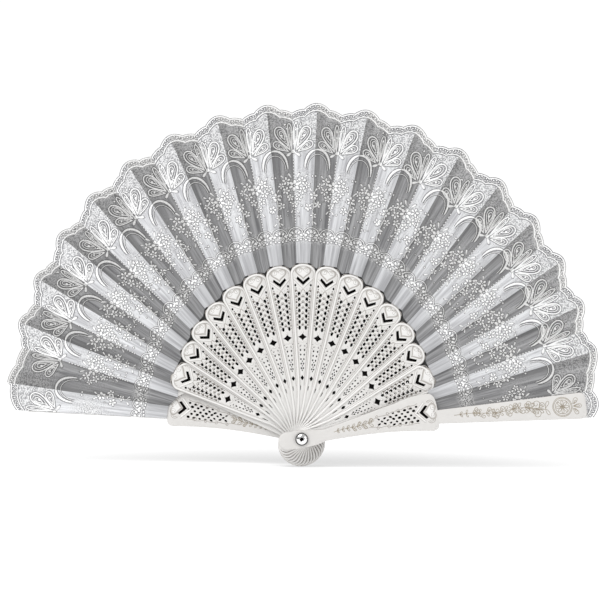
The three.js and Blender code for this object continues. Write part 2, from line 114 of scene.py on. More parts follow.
BACK_BOW = [0, 0, 1.0, 1.85]
PIN_RADIUS = 1.75
RIVET_HEAD_RADIUS = 4.5
WASHER_RADIUS = 4.4
STACK_HALF = END * LAYER - BLADE_THICKNESS / 2 + GUARD_THICKNESS
SEAT_GAP = 0.3
WASHER_THICKNESS = 0.5
CAP_THICKNESS = 1.1

MM = 0.001
PIN_HOLE = 2.05
SEAT = LEAF_CLEARANCE + LEAF_THICKNESS / 2
BLADES = list(range(-END, END + 1))
STICKS = BLADES[1:-1]


def blade_angle(k):
    if abs(k) == END:
        return math.copysign(math.radians(GUARD_ANGLE_DEG), k)
    return math.radians(CENTRE_SPACING_DEG * k + SPACING_GROWTH_DEG * k**3)


def strip_angle(k):
    return blade_angle(k) if abs(k) == END else math.radians(GLUED_SPACING_DEG * k)


def strip_half_width(k):
    return math.radians(END_STRIP_HALF_WIDTH_DEG if abs(k) == END else GLUED_HALF_WIDTH_DEG)


def body_name(k):
    names = {-END: "back_guard", END: "front_guard"}
    return names.get(k, f"blade_{k + END:02d}")


def rib_lean(radius):
    """How far the middle of a guard's rib lies from the guard's own line, towards the middle of the fan."""
    share = (radius - SHOULDER_RADIUS) / (GUARD_TIP_RADIUS - SHOULDER_RADIUS)
    return RIB_LEAN_AT_ROOT + (RIB_LEAN_AT_TIP - RIB_LEAN_AT_ROOT) * share


def smoothstep(t):
    t = np.clip(t, 0, 1)
    return t * t * (3 - 2 * t)


ANGLE = np.array([blade_angle(k) for k in BLADES])
LEVEL = np.array([-k * LAYER for k in BLADES])
GORGE = GORGE_SIDE_RADIUS + GORGE_RISE * np.cos(ANGLE) ** GORGE_ROUNDNESS
EDGES = np.array([strip_angle(k) + side * strip_half_width(k) for k in BLADES for side in (-1, 1)])
PHASES = np.arange(len(EDGES)) / 2 - 0.5
STRIPS = len(EDGES) - 1


# The leaf as a surface over (angle from straight up, radius)
RIPPLE = 0.28
LARGE_SCALLOP = 2.2
SMALL_SCALLOP = 1.6
EDGE_TRIM = 2.3


def strip_depth(index, theta, radius):
    """Y of the leaf's middle where it is glued to the blades of these indices."""
    ease = smoothstep((radius - GORGE[index]) / PLEAT_EASE)
    inner = -RIB_THICKNESS / 2 - SEAT + PLEAT_SLOPE * ease * radius * np.sin(theta - ANGLE[index])
    front = BLADE_THICKNESS / 2 - np.interp(radius, BOW_AT, FRONT_BOW) + SEAT
    back = -BLADE_THICKNESS / 2 + np.interp(radius, BOW_AT, BACK_BOW) - SEAT
    at_end = np.where(index == 0, back, front)
    return LEVEL[index] + np.where((index == 0) | (index == 2 * END), at_end, inner)


def strip_of(theta):
    """Even strips are glued to a blade, and odd strips fold between two blades."""
    return np.clip(np.searchsorted(EDGES, theta) - 1, 0, STRIPS - 1)


def leaf_lean(theta, radius):
    """The angle by which the leaf beside the guards follows the lean of their ribs."""
    share = np.interp(np.abs(theta), [EDGES[-3], EDGES[-2]], [0, 1])
    return -np.sign(theta) * share * rib_lean(radius) / radius


def leaf_points(theta, radius, lift=0.0):
    """Points of the leaf in millimetres, lifted off its middle towards the front."""
    theta, radius, lift = np.broadcast_arrays(np.asarray(theta, float), radius, lift)
    strip = strip_of(theta)
    left, right = EDGES[strip], EDGES[strip + 1]
    share = (theta - left) / (right - left)
    start = strip_depth(strip // 2, left, radius)
    end = strip_depth((strip + 1) // 2, right, radius)
    ripple = np.where(strip % 2 == 1, RIPPLE * np.sin(3 * np.pi * np.clip(share, 0, 1)), 0)
    depth = start + (end - start) * share + ripple - lift
    turned = theta + leaf_lean(theta, radius)
    return np.stack([radius * np.sin(turned), depth, radius * np.cos(turned)], axis=-1)


def edge_radius(theta):
    """The leaf's outer edge: a tooth for each pleat, and a large and two small scallops along it."""
    phase = np.interp(theta, EDGES, PHASES)
    from_peak = phase - np.round(phase)
    tooth = 0.5 - 0.5 * np.cos(2 * np.pi * from_peak)
    large = np.abs(from_peak) < 0.25
    along = np.where(large, from_peak * 2 + 0.5, np.abs(from_peak) * 4 - 1)
    height = np.where(large, LARGE_SCALLOP, SMALL_SCALLOP)
    bump = height * np.sin(np.pi * np.clip(along, 0, 1)) ** 0.6
    first = np.clip((theta - EDGES[0]) / (EDGES[1] - EDGES[0]), 0, 1)
    last = np.clip((theta - EDGES[-2]) / (EDGES[-1] - EDGES[-2]), 0, 1)
    rounded = np.where(theta < 0, (1 - first) ** 3, (1 - last) ** 3 + last**3)
    at_end = (theta < EDGES[1]) | (theta > EDGES[-2])
    drop = np.where(at_end, LEAF_EDGE_STEP * rounded, LEAF_EDGE_STEP * tooth - bump)
    return LEAF_SIDE_RADIUS + LEAF_RISE * np.cos(theta) ** LEAF_ROUNDNESS - drop - EDGE_TRIM


HEM_OVER_SHOULDER = np.array([-2, -4, 0.6])


def hem_radius(theta):
    """The leaf's inner edge, just above the blades' scallops and the guards' shoulders."""
    strip = strip_of(theta)
    left, right = GORGE[strip // 2], GORGE[(strip + 1) // 2]
    share = np.clip((theta - EDGES[strip]) / (EDGES[strip + 1] - EDGES[strip]), 0, 1)
    side = np.abs(2 * share - 1)
    by_plain = (strip == 3) | (strip == STRIPS - 4)
    between = np.maximum(left, right) + np.where(by_plain, PLAIN_FOLD_GAP, -LEAF_NOTCH)
    folded = between + (np.where(share < 0.5, left, right) - between) * side
    inner = np.where(strip % 2 == 1, folded, left) + LEAF_GORGE_GAP
    by_shoulder = np.interp(np.abs(theta), EDGES[-4:-1], SHOULDER_RADIUS + HEM_OVER_SHOULDER)
    return np.where(np.abs(theta) > EDGES[-4], np.minimum(inner, by_shoulder), inner)


# Mesh building
class Shape:
    """Points, faces and a shade value per point, gathered before they become a mesh."""

    def __init__(self):
        self.points = []
        self.faces = []
        self.shades = []
        self.count = 0

    def add(self, points, faces, shade):
        self.points.append(np.asarray(points, float).reshape(-1, 3))
        self.faces.extend([tuple(n + self.count for n in face) for face in faces])
        self.shades.append(np.broadcast_to(shade, len(self.points[-1])))
        self.count += len(self.points[-1])

    def add_slab(self, grids, shade):
        """A closed slab between two grids of points."""
        rows, columns = grids[0].shape[:2]
        self.add(np.concatenate(grids), slab_faces(rows, columns), shade)

    def place(self, k):
        self.points = [place(points, k) for points in self.points]


def ring_faces(rings, sides, closed):
    """Quads between rings of points, and caps at the ends of an open run."""
    faces = []
    for ring in range(rings if closed else rings - 1):
        here, there = ring * sides, (ring + 1) % rings * sides
        for side in range(sides):
            after = (side + 1) % sides
            faces.append((here + side, here + after, there + after, there + side))
    if not closed:
        faces.append(tuple(range(sides))[::-1])
        faces.append(tuple((rings - 1) * sides + side for side in range(sides)))
    return faces


def slab_faces(rows, columns):
    """Faces of a closed slab whose front grid of points comes before its back grid."""
    layer = rows * columns
    faces = []
    for row in range(rows - 1):
        for column in range(columns - 1):
            a = row * columns + column
            quad = (a, a + 1, a + 1 + columns, a + columns)
            faces.append(quad)
            faces.append(tuple(n + layer for n in quad[::-1]))
    rim = list(range(columns))
    rim += [row * columns + columns - 1 for row in range(1, rows)]
    rim += [(rows - 1) * columns + column for column in range(columns - 2, -1, -1)]
    rim += [row * columns for row in range(rows - 2, 0, -1)]
    for here, there in zip(rim, rim[1:] + rim[:1]):
        faces.append((here, here + layer, there + layer, there))
    return faces


def set_values(mesh, name, values):
    """One value, or three, for each point of a mesh, which its material reads."""
    kind, key = ("FLOAT", "value") if values.ndim == 1 else ("FLOAT_VECTOR", "vector")
    mesh.attributes.new(name, kind, "POINT").data.foreach_set(key, values.astype(np.float32).ravel())


POLAR_SPREAD = 150


def make_object(name, shape, material, smooth_deg=35):
    """A mesh object from a shape in millimetres, with polar coordinates and a shade for its material."""
    points = np.concatenate(shape.points)
    mesh = bpy.data.meshes.new(name)
    mesh.from_pydata((points * MM).tolist(), [], shape.faces)
    x, y, z = points.T
    set_values(mesh, "polar", np.stack([np.arctan2(x, z) * POLAR_SPREAD, np.hypot(x, z), y], axis=1))
    set_values(mesh, "shade", np.concatenate(shape.shades))
    bm = bmesh.new()
    bm.from_mesh(mesh)
    bmesh.ops.recalc_face_normals(bm, faces=bm.faces)
    bm.to_mesh(mesh)
    bm.free()
    mesh.shade_smooth()
    mesh.set_sharp_from_angle(angle=math.radians(smooth_deg))
    mesh.materials.append(material)
    obj = bpy.data.objects.new(name, mesh)
    bpy.context.scene.collection.objects.link(obj)
    return obj


def make_rigid(name, shape, material, body, slot, *nodes):
    """A piece that rides on one body, in place of the nodes of the CAD model that are named."""
    obj = make_object(name, shape, material)
    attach(obj, body)
    if nodes:
        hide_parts(*nodes)


def place(points, k):
    """Points from blade k's own frame, where Z runs along the blade, to the fan's frame."""
    angle = blade_angle(k)
    x, y, z = np.moveaxis(np.asarray(points, float), -1, 0)
    turned_x = x * math.cos(angle) + z * math.sin(angle)
    turned_z = z * math.cos(angle) - x * math.sin(angle)
    return np.stack([turned_x, y - k * LAYER, turned_z], axis=-1)


# Materials
BUMP_DEPTH = 0.0002
AO_DEEP = 0.15


class Nodes:
    """The nodes of a material or a world, and short ways to add to them."""

    def __init__(self, owner):
        owner.use_nodes = True
        self.tree = owner.node_tree

    def put(self, value, socket):
        """Links a socket to another node's output, or sets its value."""
        if isinstance(value, bpy.types.NodeSocket):
            self.tree.links.new(value, socket)
        elif socket.type == "RGBA":
            socket.default_value = (*value, 1)
        else:
            socket.default_value = value

    def add(self, kind, inputs=(), **settings):
        node = self.tree.nodes.new(kind)
        for key, value in settings.items():
            setattr(node, key, value)
        for key, value in dict(inputs).items():
            self.put(value, node.inputs[key])
        return node

    def read(self, name, output="Fac"):
        """The values of a mesh that set_values wrote."""
        return self.add("ShaderNodeAttribute", attribute_name=name).outputs[output]

    def noise(self, scale, stretch=1.0, detail=3.0):
        """Noise over (across, radius, depth) in millimetres, stretched along the radius."""
        scales = (scale, scale / stretch, scale)
        scaled = self.add("ShaderNodeMapping", {"Vector": self.read("polar", "Vector"), "Scale": scales})
        inputs = {"Vector": scaled.outputs[0], "Scale": 1.0, "Detail": detail}
        return self.add("ShaderNodeTexNoise", inputs).outputs["Fac"]

    def ranged(self, value, old, new=(0, 1)):
        """A value moved from its old range to a new one."""
        inputs = {"Value": value, "From Min": old[0], "From Max": old[1], "To Min": new[0], "To Max": new[1]}
        return self.add("ShaderNodeMapRange", inputs).outputs["Result"]

    def calc(self, operation, first, second):
        return self.add("ShaderNodeMath", {0: first, 1: second}, operation=operation).outputs[0]

    def mix(self, factor, low, high):
        """A colour between two others."""
        node = self.add("ShaderNodeMix", {0: factor}, data_type="RGBA")
        colours = [socket for socket in node.inputs if socket.type == "RGBA"]
        for value, socket in zip((low, high), colours):
            self.put(value, socket)
        return next(socket for socket in node.outputs if socket.type == "RGBA")

    def crevice_shade(self, distance, open_from):
        """Painted shade from ambient occlusion: 0 in the open and up to 1 down in crevices, within a distance
        in millimetres.
        """
        near = self.add("ShaderNodeAmbientOcclusion", {"Distance": distance * MM}, samples=6)
        return self.ranged(near.outputs["AO"], (AO_DEEP, open_from), (1, 0))


class Material(Nodes):
    """The nodes of a new material round its shader."""

    def __init__(self, name):
        self.material = bpy.data.materials.new(name)
        super().__init__(self.material)

    def finish(self, inputs, height=None, strength=0.0):
        """The material, with its shader's inputs and the bump of a height."""
        if height is not None:
            relief = {"Height": height, "Strength": strength, "Distance": BUMP_DEPTH}
            inputs["Normal"] = self.add("ShaderNodeBump", relief).outputs["Normal"]
        shader = self.tree.nodes["Principled BSDF"]
        for key, value in inputs.items():
            self.put(value, shader.inputs[key])
        return self.material


def plastic_material():
    """Moulded ivory plastic: a fine grain, with painted shade, darker and warmer, where its shade values ask
    for it and down in the carving's crevices.
    """
    ivory = Material("ivory_plastic")
    cloudy = ivory.mix(ivory.noise(0.09, stretch=1.5), (0.84, 0.83, 0.815), (0.77, 0.76, 0.745))
    # Painted shade where the shade value is high: the carving's feet, the walls, the groove lines and the
    # flat faces.
    edge_shaded = ivory.mix(ivory.calc("MULTIPLY", ivory.read("shade"), 0.9), cloudy, (0.28, 0.25, 0.22))
    # Painted shade down in the crevices, from ambient occlusion.
    carved = ivory.mix(ivory.crevice_shade(1.3, 0.68), edge_shaded, (0.20, 0.17, 0.15))
    grain = ivory.noise(2.2, stretch=2.0)
    satin = ivory.ranged(grain, (0, 1), (0.28, 0.45))
    return ivory.finish({"Base Color": carved, "Roughness": satin, "Coat Weight": 0.2}, grain, 0.25)


def cloth_material(name, dark, low, high, net_high):
    """Fine woven cloth with soft streaks along its pleats, painted fold shade from its across values, a
    mottled net where its shade says so, and painted shade round the lace.
    """
    cloth = Material(name)
    fine = cloth.calc("MULTIPLY", cloth.noise(2.6, stretch=34.0), 0.5)
    streaks = cloth.calc("ADD", cloth.noise(0.55, stretch=26.0), fine)
    base = cloth.mix(cloth.ranged(streaks, (0.56, 0.94)), low, high)
    speckle = cloth.ranged(cloth.noise(1.25, detail=2.0), (0.42, 0.54))
    # Painted fold shade: the across values darken the cloth towards its dark colour.
    shaded = cloth.mix(cloth.ranged(cloth.read("across"), (0, 1), (0, 0.75)), base, dark)
    netted = cloth.mix(cloth.read("shade"), shaded, cloth.mix(speckle, dark, net_high))
    # Painted shade round the lace threads, from ambient occlusion.
    shade_round_lace = cloth.mix(cloth.calc("MULTIPLY", cloth.crevice_shade(1.1, 0.8), 0.6), netted, dark)
    weave = cloth.add("ShaderNodeTexVoronoi", {"Vector": cloth.read("polar", "Vector"), "Scale": 2.4})
    inputs = {"Base Color": shade_round_lace, "Roughness": 0.75, "Sheen Weight": 0.08, "Sheen Roughness": 0.4}
    return cloth.finish(inputs, weave.outputs["Distance"], 0.2)


def thread_material(name, ridge, edge, bright_below):
    """Embroidery thread: bright along its ridge, with painted shade where it dives into the cloth, as a dark
    outline round it.
    """
    thread = Material(name)
    twist = thread.noise(1.6)
    uneven = thread.calc("ADD", thread.calc("MULTIPLY", thread.read("shade"), 0.8), twist)
    colour = thread.mix(thread.ranged(uneven, (bright_below, 1.3)), ridge, edge)
    return thread.finish({"Base Color": colour, "Roughness": 0.6, "Sheen Weight": 0.15}, twist, 0.3)


def metal_material(name, colour, roughness, scratches):
    metal = Material(name)
    rough = metal.ranged(metal.noise(1.2, detail=6.0), (0.3, 0.7), (roughness, roughness + scratches))
    # Near black where the shade value is high: painted shade in the rivet's recess and round the rim of its
    # dome.
    shaded = metal.mix(metal.read("shade"), colour, grey(0.004))
    return metal.finish({"Base Color": shaded, "Roughness": rough, "Metallic": 1.0})


def paint_material(name, low, high, specular=0.5):
    paint = Material(name)
    wear = paint.noise(0.9, detail=5.0)
    worn = paint.mix(paint.ranged(wear, (0.35, 0.65)), low, high)
    rough = paint.ranged(wear, (0, 1), (0.35, 0.6))
    return paint.finish({"Base Color": worn, "Roughness": rough, "Specular IOR Level": specular})


def grey(level, tint=0.0):
    """A grey with a little blue, as (red, green, blue)."""
    return (level, level, level + tint)


IVORY = plastic_material()
LIGHT_CLOTH = cloth_material("lace_light", grey(0.26, 0.01), grey(0.44, 0.02), (0.85, 0.86, 0.88), grey(0.88))
# The folding strips' cloth is grey: partly its own silver-grey and partly painted shade on folds that turn
# away.
SHADED_TONES = (grey(0.08), grey(0.125, 0.005), grey(0.335, 0.005))
DARK_CLOTH = cloth_material("lace_shaded", *SHADED_TONES, (0.62, 0.615, 0.61))
# Near-black cloth for the leaf's margins between blades: painted shadow in the notches.
HEM_SHADOW = cloth_material("leaf_hem_shadow", grey(0.02), grey(0.03), grey(0.06), grey(0.05))
LIGHT_THREAD = thread_material("thread_light", grey(0.95), grey(0.15, 0.01), 0.72)
# The same thread where it lies on the folding strips, greyed as painted shade.
SHADED_THREAD = thread_material("thread_shaded", (0.86, 0.855, 0.85), grey(0.07), 0.16)
CHROME = metal_material("chrome", grey(0.9), 0.015, 0.04)
STEEL = metal_material("dark_steel", grey(0.25, 0.01), 0.25, 0.2)
GOLD_LINE = paint_material("gold_line", (0.23, 0.19, 0.14), (0.37, 0.33, 0.26))
# Near-black unshiny paint for the sheets of painted shade in the openings.
OPENING_SHADE = paint_material("dark_film", grey(0.004), (0.009, 0.008, 0.008), specular=0.0)


# Paths and relief on the blades
def whole_turn(steps):
    """Angles all the way round, each once."""
    return np.arange(steps) / steps * 2 * np.pi


def arc(centre, radii, start_deg, stop_deg, steps):
    turns = np.radians(np.linspace(start_deg, stop_deg, steps))
    across, along = np.broadcast_to(radii, 2)
    return np.stack([centre[0] + across * np.cos(turns), centre[1] + along * np.sin(turns)], axis=1)


def route(start, *legs):
    """An outline in legs of (end, steps), with one or two control points first where a leg curves."""
    points = [np.array([start], float)]
    for *controls, end, steps in legs:
        first = points[-1][-1]
        bend = {0: np.linspace, 1: curve_through, 2: bezier}[len(controls)]
        points.append(bend(first, *controls, end, steps)[1:])
    return np.concatenate(points)


def bezier(a, b, c, d, steps):
    a, b, c, d = (np.array(p, float) for p in (a, b, c, d))
    t = np.linspace(0, 1, steps)[:, None]
    return (1 - t) ** 3 * a + 3 * (1 - t) ** 2 * t * b + 3 * (1 - t) * t**2 * c + t**3 * d


def curve_through(start, control, end, steps):
    """A quadratic curve from start to end."""
    a, b, c = (np.array(p, float) for p in (start, control, end))
    t = np.linspace(0, 1, steps)[:, None]
    return (1 - t) ** 2 * a + 2 * (1 - t) * t * b + t**2 * c


def leaning(base, across, along, tilt_deg):
    """Points at (across, along) from a base, on axes that lean by a tilt from straight up."""
    lean = math.radians(tilt_deg)
    x = base[0] + across * math.cos(lean) + along * math.sin(lean)
    z = base[1] - across * math.sin(lean) + along * math.cos(lean)
    return np.stack([x, z], axis=1)


def teardrop(base, tilt_deg, length, half_width, steps=22, sharpness=1.5):
    """A closed loop with its point at the base."""
    turn = whole_turn(steps)
    along = length * (1 - np.cos(turn)) / 2
    across = half_width * np.sin(turn) * np.sin(turn / 2) ** sharpness
    return leaning(base, across, along, tilt_deg)


def oval(x, z, half_width, half_height, tilt_deg=0, steps=9):
    turns = whole_turn(steps)
    return leaning((x, z), half_width * np.cos(turns), half_height * np.sin(turns), tilt_deg)


def spiral(centre, radius, start_deg, turns, steps=26, shrink=0.8):
    """A curl that closes in on its centre."""
    share = np.linspace(0, 1, steps)
    angle = math.radians(start_deg) + 2 * np.pi * turns * share
    reach = radius * (1 - shrink * share)
    return np.stack([centre[0] + reach * np.cos(angle), centre[1] + reach * np.sin(angle)], axis=1)


def path_normals(path, closed):
    if closed:
        along = np.roll(path, -1, axis=0) - np.roll(path, 1, axis=0)
    else:
        along = np.gradient(path, axis=0)
    along /= np.maximum(np.linalg.norm(along, axis=1, keepdims=True), 1e-9)
    return np.stack([-along[:, 1], along[:, 0]], axis=1)


def inset(outline, distance):
    """A closed outline moved inwards, whichever way round it runs."""
    x, z = outline.T
    area = np.sum(x * np.roll(z, -1) - z * np.roll(x, -1)) / 2
    return outline + math.copysign(distance, area) * path_normals(outline, True)


RELIEF_SIDE = [(1.25, -0.4), (1.25, 0.04), (0.6, 0.9)]
RELIEF_PROFILE = np.array([(-x, y) for x, y in RELIEF_SIDE] + [(0, 1.0)] + RELIEF_SIDE[::-1])
SUNK = 0.15


class Carving:
    """Relief on one face of a flat blade."""

    def __init__(self, shape, thickness, front=True):
        self.shape = shape
        self.outwards = -1 if front else 1
        self.face = self.outwards * thickness / 2

    def ridge(self, path, half_width, height, closed=False, tone=None, above=0.0):
        """A rounded ridge along a path, with painted shade at its feet, or, where it has a tone, a low line
        painted dark as the shade in an engraved groove.
        """
        widths = half_width * RELIEF_PROFILE[None, :, 0, None]
        across = path[:, None, :] + path_normals(path, closed)[:, None, :] * widths
        lifts = np.where(RELIEF_PROFILE[:, 1] < 0, -SUNK, RELIEF_PROFILE[:, 1] * height)
        depth = self.face + self.outwards * above + self.outwards * np.broadcast_to(lifts, across.shape[:2])
        points = np.stack([across[..., 0], depth, across[..., 1]], axis=-1)
        shade = np.tile(np.where(RELIEF_PROFILE[:, 1] > 0.5, 0.0, 1.0), len(path))
        faces = ring_faces(len(path), len(RELIEF_PROFILE), closed)
        self.shape.add(points, faces, shade if tone is None else tone)

    def dome(self, outline, height):
        """A low dome over a closed outline, with painted shade round its foot."""
        middle = outline.mean(axis=0)
        rings = []
        for scale, lift in ((1.1, -SUNK), (1.1, 0.02), (0.75, 0.8 * height)):
            ring = middle + (outline - middle) * scale
            rings.append(np.insert(ring, 1, self.face + self.outwards * lift, axis=1))
        rings.append([[middle[0], self.face + self.outwards * height, middle[1]]])
        count = len(outline)
        *sides, foot, _ = ring_faces(3, count, False)
        top = [(2 * count + n, 2 * count + (n + 1) % count, 3 * count) for n in range(count)]
        shade = np.repeat([1.0, 0.0], [2 * count, count + 1])
        self.shape.add(np.concatenate(rings), sides + top + [foot], shade)


# Painted shade on the plates' walls, so openings and edges read dark.
WALL_SHADE = 0.9


def add_plate(shape, outline, holes, thickness, bevel, flat_shade, bends_at=()):
    """A flat pierced plate with rounded edges, cut across where it bends later."""
    curve = bpy.data.curves.new("plate", "CURVE")
    curve.dimensions = "2D"
    curve.fill_mode = "BOTH"
    curve.extrude = thickness / 2 - bevel
    curve.bevel_depth = bevel
    curve.bevel_resolution = 1
    curve.offset = -bevel
    for path in [outline, *holes]:
        spline = curve.splines.new("POLY")
        spline.points.add(len(path) - 1)
        coordinates = np.column_stack([path, np.zeros(len(path)), np.ones(len(path))])
        spline.points.foreach_set("co", coordinates.ravel())
        spline.use_cyclic_u = True
    holder = bpy.data.objects.new("plate", curve)
    bpy.context.scene.collection.objects.link(holder)
    bpy.context.view_layer.update()
    mesh = bpy.data.meshes.new_from_object(holder.evaluated_get(bpy.context.evaluated_depsgraph_get()))
    bm = bmesh.new()
    bm.from_mesh(mesh)
    bmesh.ops.remove_doubles(bm, verts=bm.verts, dist=1e-4)
    for height in bends_at:
        geometry = bm.verts[:] + bm.edges[:] + bm.faces[:]
        bmesh.ops.bisect_plane(bm, geom=geometry, plane_co=(0, height, 0), plane_no=(0, 1, 0))
    bm.verts.index_update()
    x, z, up = np.array([vert.co[:] for vert in bm.verts]).T
    faces = [tuple(vert.index for vert in face.verts) for face in bm.faces]
    bm.free()
    bpy.data.objects.remove(holder)
    bpy.data.curves.remove(curve)
    bpy.data.meshes.remove(mesh)
    # Walls take the painted shade of the openings, and faces a flat painted shade.
    on_wall = np.abs(up) < thickness / 2 - bevel / 2
    shape.add(np.stack([x, -up, z], axis=1), faces, np.where(on_wall, WALL_SHADE, flat_shade))


# Sticks
def is_plain(k):
    return abs(k) == END - 1


# Flat painted shade on the faces of the sticks and their ribs.
STICK_BEVEL = 0.14
STICK_SHADE = 0.14
RIB_SHADE = 0.1
HEAD_TOP = 10
NECK_TOP = 24


def blade_reach(k, radius, side):
    """How far a stick reaches to a side, -1 or 1, at a radius."""
    if is_plain(k):
        return np.full(np.shape(radius), NECK_HALF_WIDTH)
    if is_plain(k + side):
        spread = math.radians(OUTER_STICK_REACH_DEG)
    else:
        spread = (blade_angle(k + 1) - blade_angle(k - 1)) / 4
    return np.maximum(NECK_HALF_WIDTH, radius * math.sin(spread) + BLADE_LAP)


def blade_half_width(k, radius):
    return (blade_reach(k, radius, -1) + blade_reach(k, radius, 1)) / 2


def blade_middle(k, radius):
    return (blade_reach(k, radius, 1) - blade_reach(k, radius, -1)) / 2


def head_reach(k):
    return HEAD_REACH + HEAD_DROP * math.cos(blade_angle(k))


def head_arc(half_width, k):
    """The round end of a blade below the rivet."""
    return arc((0, half_width - head_reach(k)), half_width, 180, 360, 18)


def stick_outline(k, top):
    shoulder = top - SCALLOP_HEIGHT
    neck, half = NECK_HALF_WIDTH, float(blade_half_width(k, shoulder))
    head = head_arc(HEAD_HALF_WIDTH, k)
    left = bezier((-neck, NECK_TOP), (-neck, 14), (-HEAD_HALF_WIDTH, HEAD_TOP), head[0], 10)
    heights = np.linspace(NECK_TOP, shoulder, 30)[1:-1]
    right_side = np.stack([blade_half_width(k, heights), heights], axis=1)
    scallop = arc((0, shoulder), (half, SCALLOP_HEIGHT), 0, 180, 32)
    right, left_side = (part[::-1] * [-1, 1] for part in (left[:-1], right_side))
    return np.concatenate([left[:-1], head, right, right_side, scallop, left_side])


def leaning_outline(top):
    """The plain stick beside the back guard leans in behind its neighbour and steps back out to its rib."""
    shoulder = top - SCALLOP_HEIGHT
    neck, lean, head = NECK_HALF_WIDTH, LEANING_REACH, HEAD_HALF_WIDTH
    right = [(head, 0), (lean + neck, shoulder), (neck, top + LEANING_STEP)]
    left = [(-neck, top), (lean - neck, shoulder), (-head, 0)]
    return np.concatenate([head_arc(head, 1 - END), right, left])


def pin_hole():
    """The hole for the pin, drawn clockwise as all holes are."""
    return arc((0, 0), PIN_HOLE, 360, 15, 24)


def diamond(x, z, half_width, half_height):
    return np.array([[x + half_width, z], [x, z - half_height], [x - half_width, z], [x, z + half_height]])


def lozenge(x, z, half_width, half_height, steps=8, squareness=0.88):
    """A small opening between a diamond and an oval."""
    turns = -whole_turn(steps)
    circle = np.stack([np.cos(turns), np.sin(turns)], axis=1)
    return (x, z) + (half_width, half_height) * np.sign(circle) * np.abs(circle) ** (1 / squareness)


def star(z, half_width, half_height, waist=0.43):
    turns = -whole_turn(8)
    reach = np.where(np.arange(8) % 2 == 0, 1.0, waist * math.sqrt(2))
    return np.stack([reach * half_width * np.cos(turns), z + reach * half_height * np.sin(turns)], axis=1)


def chevron(x, z, half_width=4.8, drop=4.4, arm=1.75, taper=0.8, inner_rise=2.65):
    """The V-shaped opening, with arms that taper towards their ends."""
    right = [(half_width - taper, arm), (half_width, 0.1)]
    left = [(-across, up) for across, up in right[::-1]]
    return np.array([*left, (0, inner_rise - drop), *right, (0, -drop)])[::-1] + (x, z)


# How much of the carving's painted shade stays, by height along a stick: less towards the neck and the head.
NECK_FADE_AT = [-6, 6, 25, 60]
NECK_FADE = [0.75, 0.3, 0.3, 1]
CHEVRON_AT = 0.913
STAR_AT = 0.58
DIAMOND_AT = 0.345
UPPER_ROWS = {"start": 0.868, "step": 0.0325, "count": 8}
LOWER_ROWS = {"start": 0.53, "step": 0.026, "count": 6}
LEAF_ROWS = {"start": 0.845, "step": 0.0325, "count": 7}
WAVE_ROWS = {"start": 0.548, "step": 0.02, "count": 3}


def pattern_rows(k, top, start, step, count):
    """The rows of a pattern down a stick: each row's number, height and half width."""
    for row in range(count):
        z = top * (start - step * row)
        yield row, z, float(blade_half_width(k, z))


def stick_holes(k, top):
    mark = DIAMOND_AT * top
    holes = [chevron(0, CHEVRON_AT * top), star(STAR_AT * top, 3.0, 2.4)]
    holes += [diamond(0, mark, 1.25, 1.85), lozenge(-1.1, mark - 6.4, 0.26, 2.6)]
    for row, z, half in pattern_rows(k, top, **UPPER_ROWS):
        low, high = z - 0.008 * top, z + 0.009 * top
        for side in (-1, 1):
            if row > 0:
                holes.append(lozenge(side * 0.35 * half, low, 0.11 * half + 0.22, 0.0127 * top))
            holes.append(lozenge(side * 0.66 * half, high, 0.06 * half + 0.2, 0.95))
            holes.append(lozenge(side * 0.6 * half, low, 0.03 * half + 0.1, 0.4))
        if row > 1:
            holes.append(lozenge(0, z + 0.008 * top, 0.42, 0.62))
    for row, z, half in pattern_rows(k, top, **LOWER_ROWS):
        for side in (-1, 1):
            holes.append(lozenge(side * (0.32 - 0.03 * row) * half, z, 0.48, 0.75))
            if row < LOWER_ROWS["count"] - 2:
                holes.append(lozenge(side * 0.55 * half, z + 0.012 * top, 0.26, 0.42))
        if row > 2:
            holes.append(lozenge(0, z - 0.012 * top, 0.34, 0.6))
    return holes


def heart(centre, size, steps=40):
    turn = whole_turn(steps)
    x = 16 * np.sin(turn) ** 3
    z = 13 * np.cos(turn) - 5 * np.cos(2 * turn) - 2 * np.cos(3 * turn) - np.cos(4 * turn)
    return np.stack([centre[0] + size * x / 16, centre[1] + size * 0.84 * z / 16], axis=1)


# Painted shade of engraved grooves, drawn as low dark lines.
GROOVE_SHADE = 0.85
CURL_GROOVE_SHADE = 0.75
LINE_HEIGHT = 0.08
HEART_HEIGHT = 0.5
CURL_ABOVE = 0.39
BORDER_HALF_WIDTH = 0.75
BORDER_HEIGHT = 0.48


def add_scallop_carving(carving, x, top, half):
    """The carving round a V: a raised heart above it between two ringed scrolls, and a plain band below."""
    at = CHEVRON_AT * top
    size = 0.56 * half
    middle = (x, at - 0.1 + 0.95 * size)
    carving.dome(heart(middle, size), HEART_HEIGHT)
    carving.ridge(heart(middle, 1.12 * size), 0.15, 0.06, True, GROOVE_SHADE)
    for side in (-1, 1):
        ring = (x + side * 0.58 * half, top - 0.52 * SCALLOP_HEIGHT)
        for radius in (0.29, 0.17):
            scroll = arc(ring, radius * half, 90 - side * 150, 90 + side * 110, 20)
            carving.ridge(scroll, 0.17, 0.07, tone=GROOVE_SHADE)
        curl_at = (x + side * 0.45 * size, middle[1] + 0.3 * size)
        curl = spiral(curl_at, 0.33 * size, 90 - side * 130, -side * 1.1)
        carving.ridge(curl, 0.16, 0.1, tone=CURL_GROOVE_SHADE, above=CURL_ABOVE)
    left, right = ((x + side * 0.74 * half, at + 0.4) for side in (-1, 1))
    carving.ridge(route(left, ((x, at - 6.0), 9), (right, 9)), 0.65, 0.35)


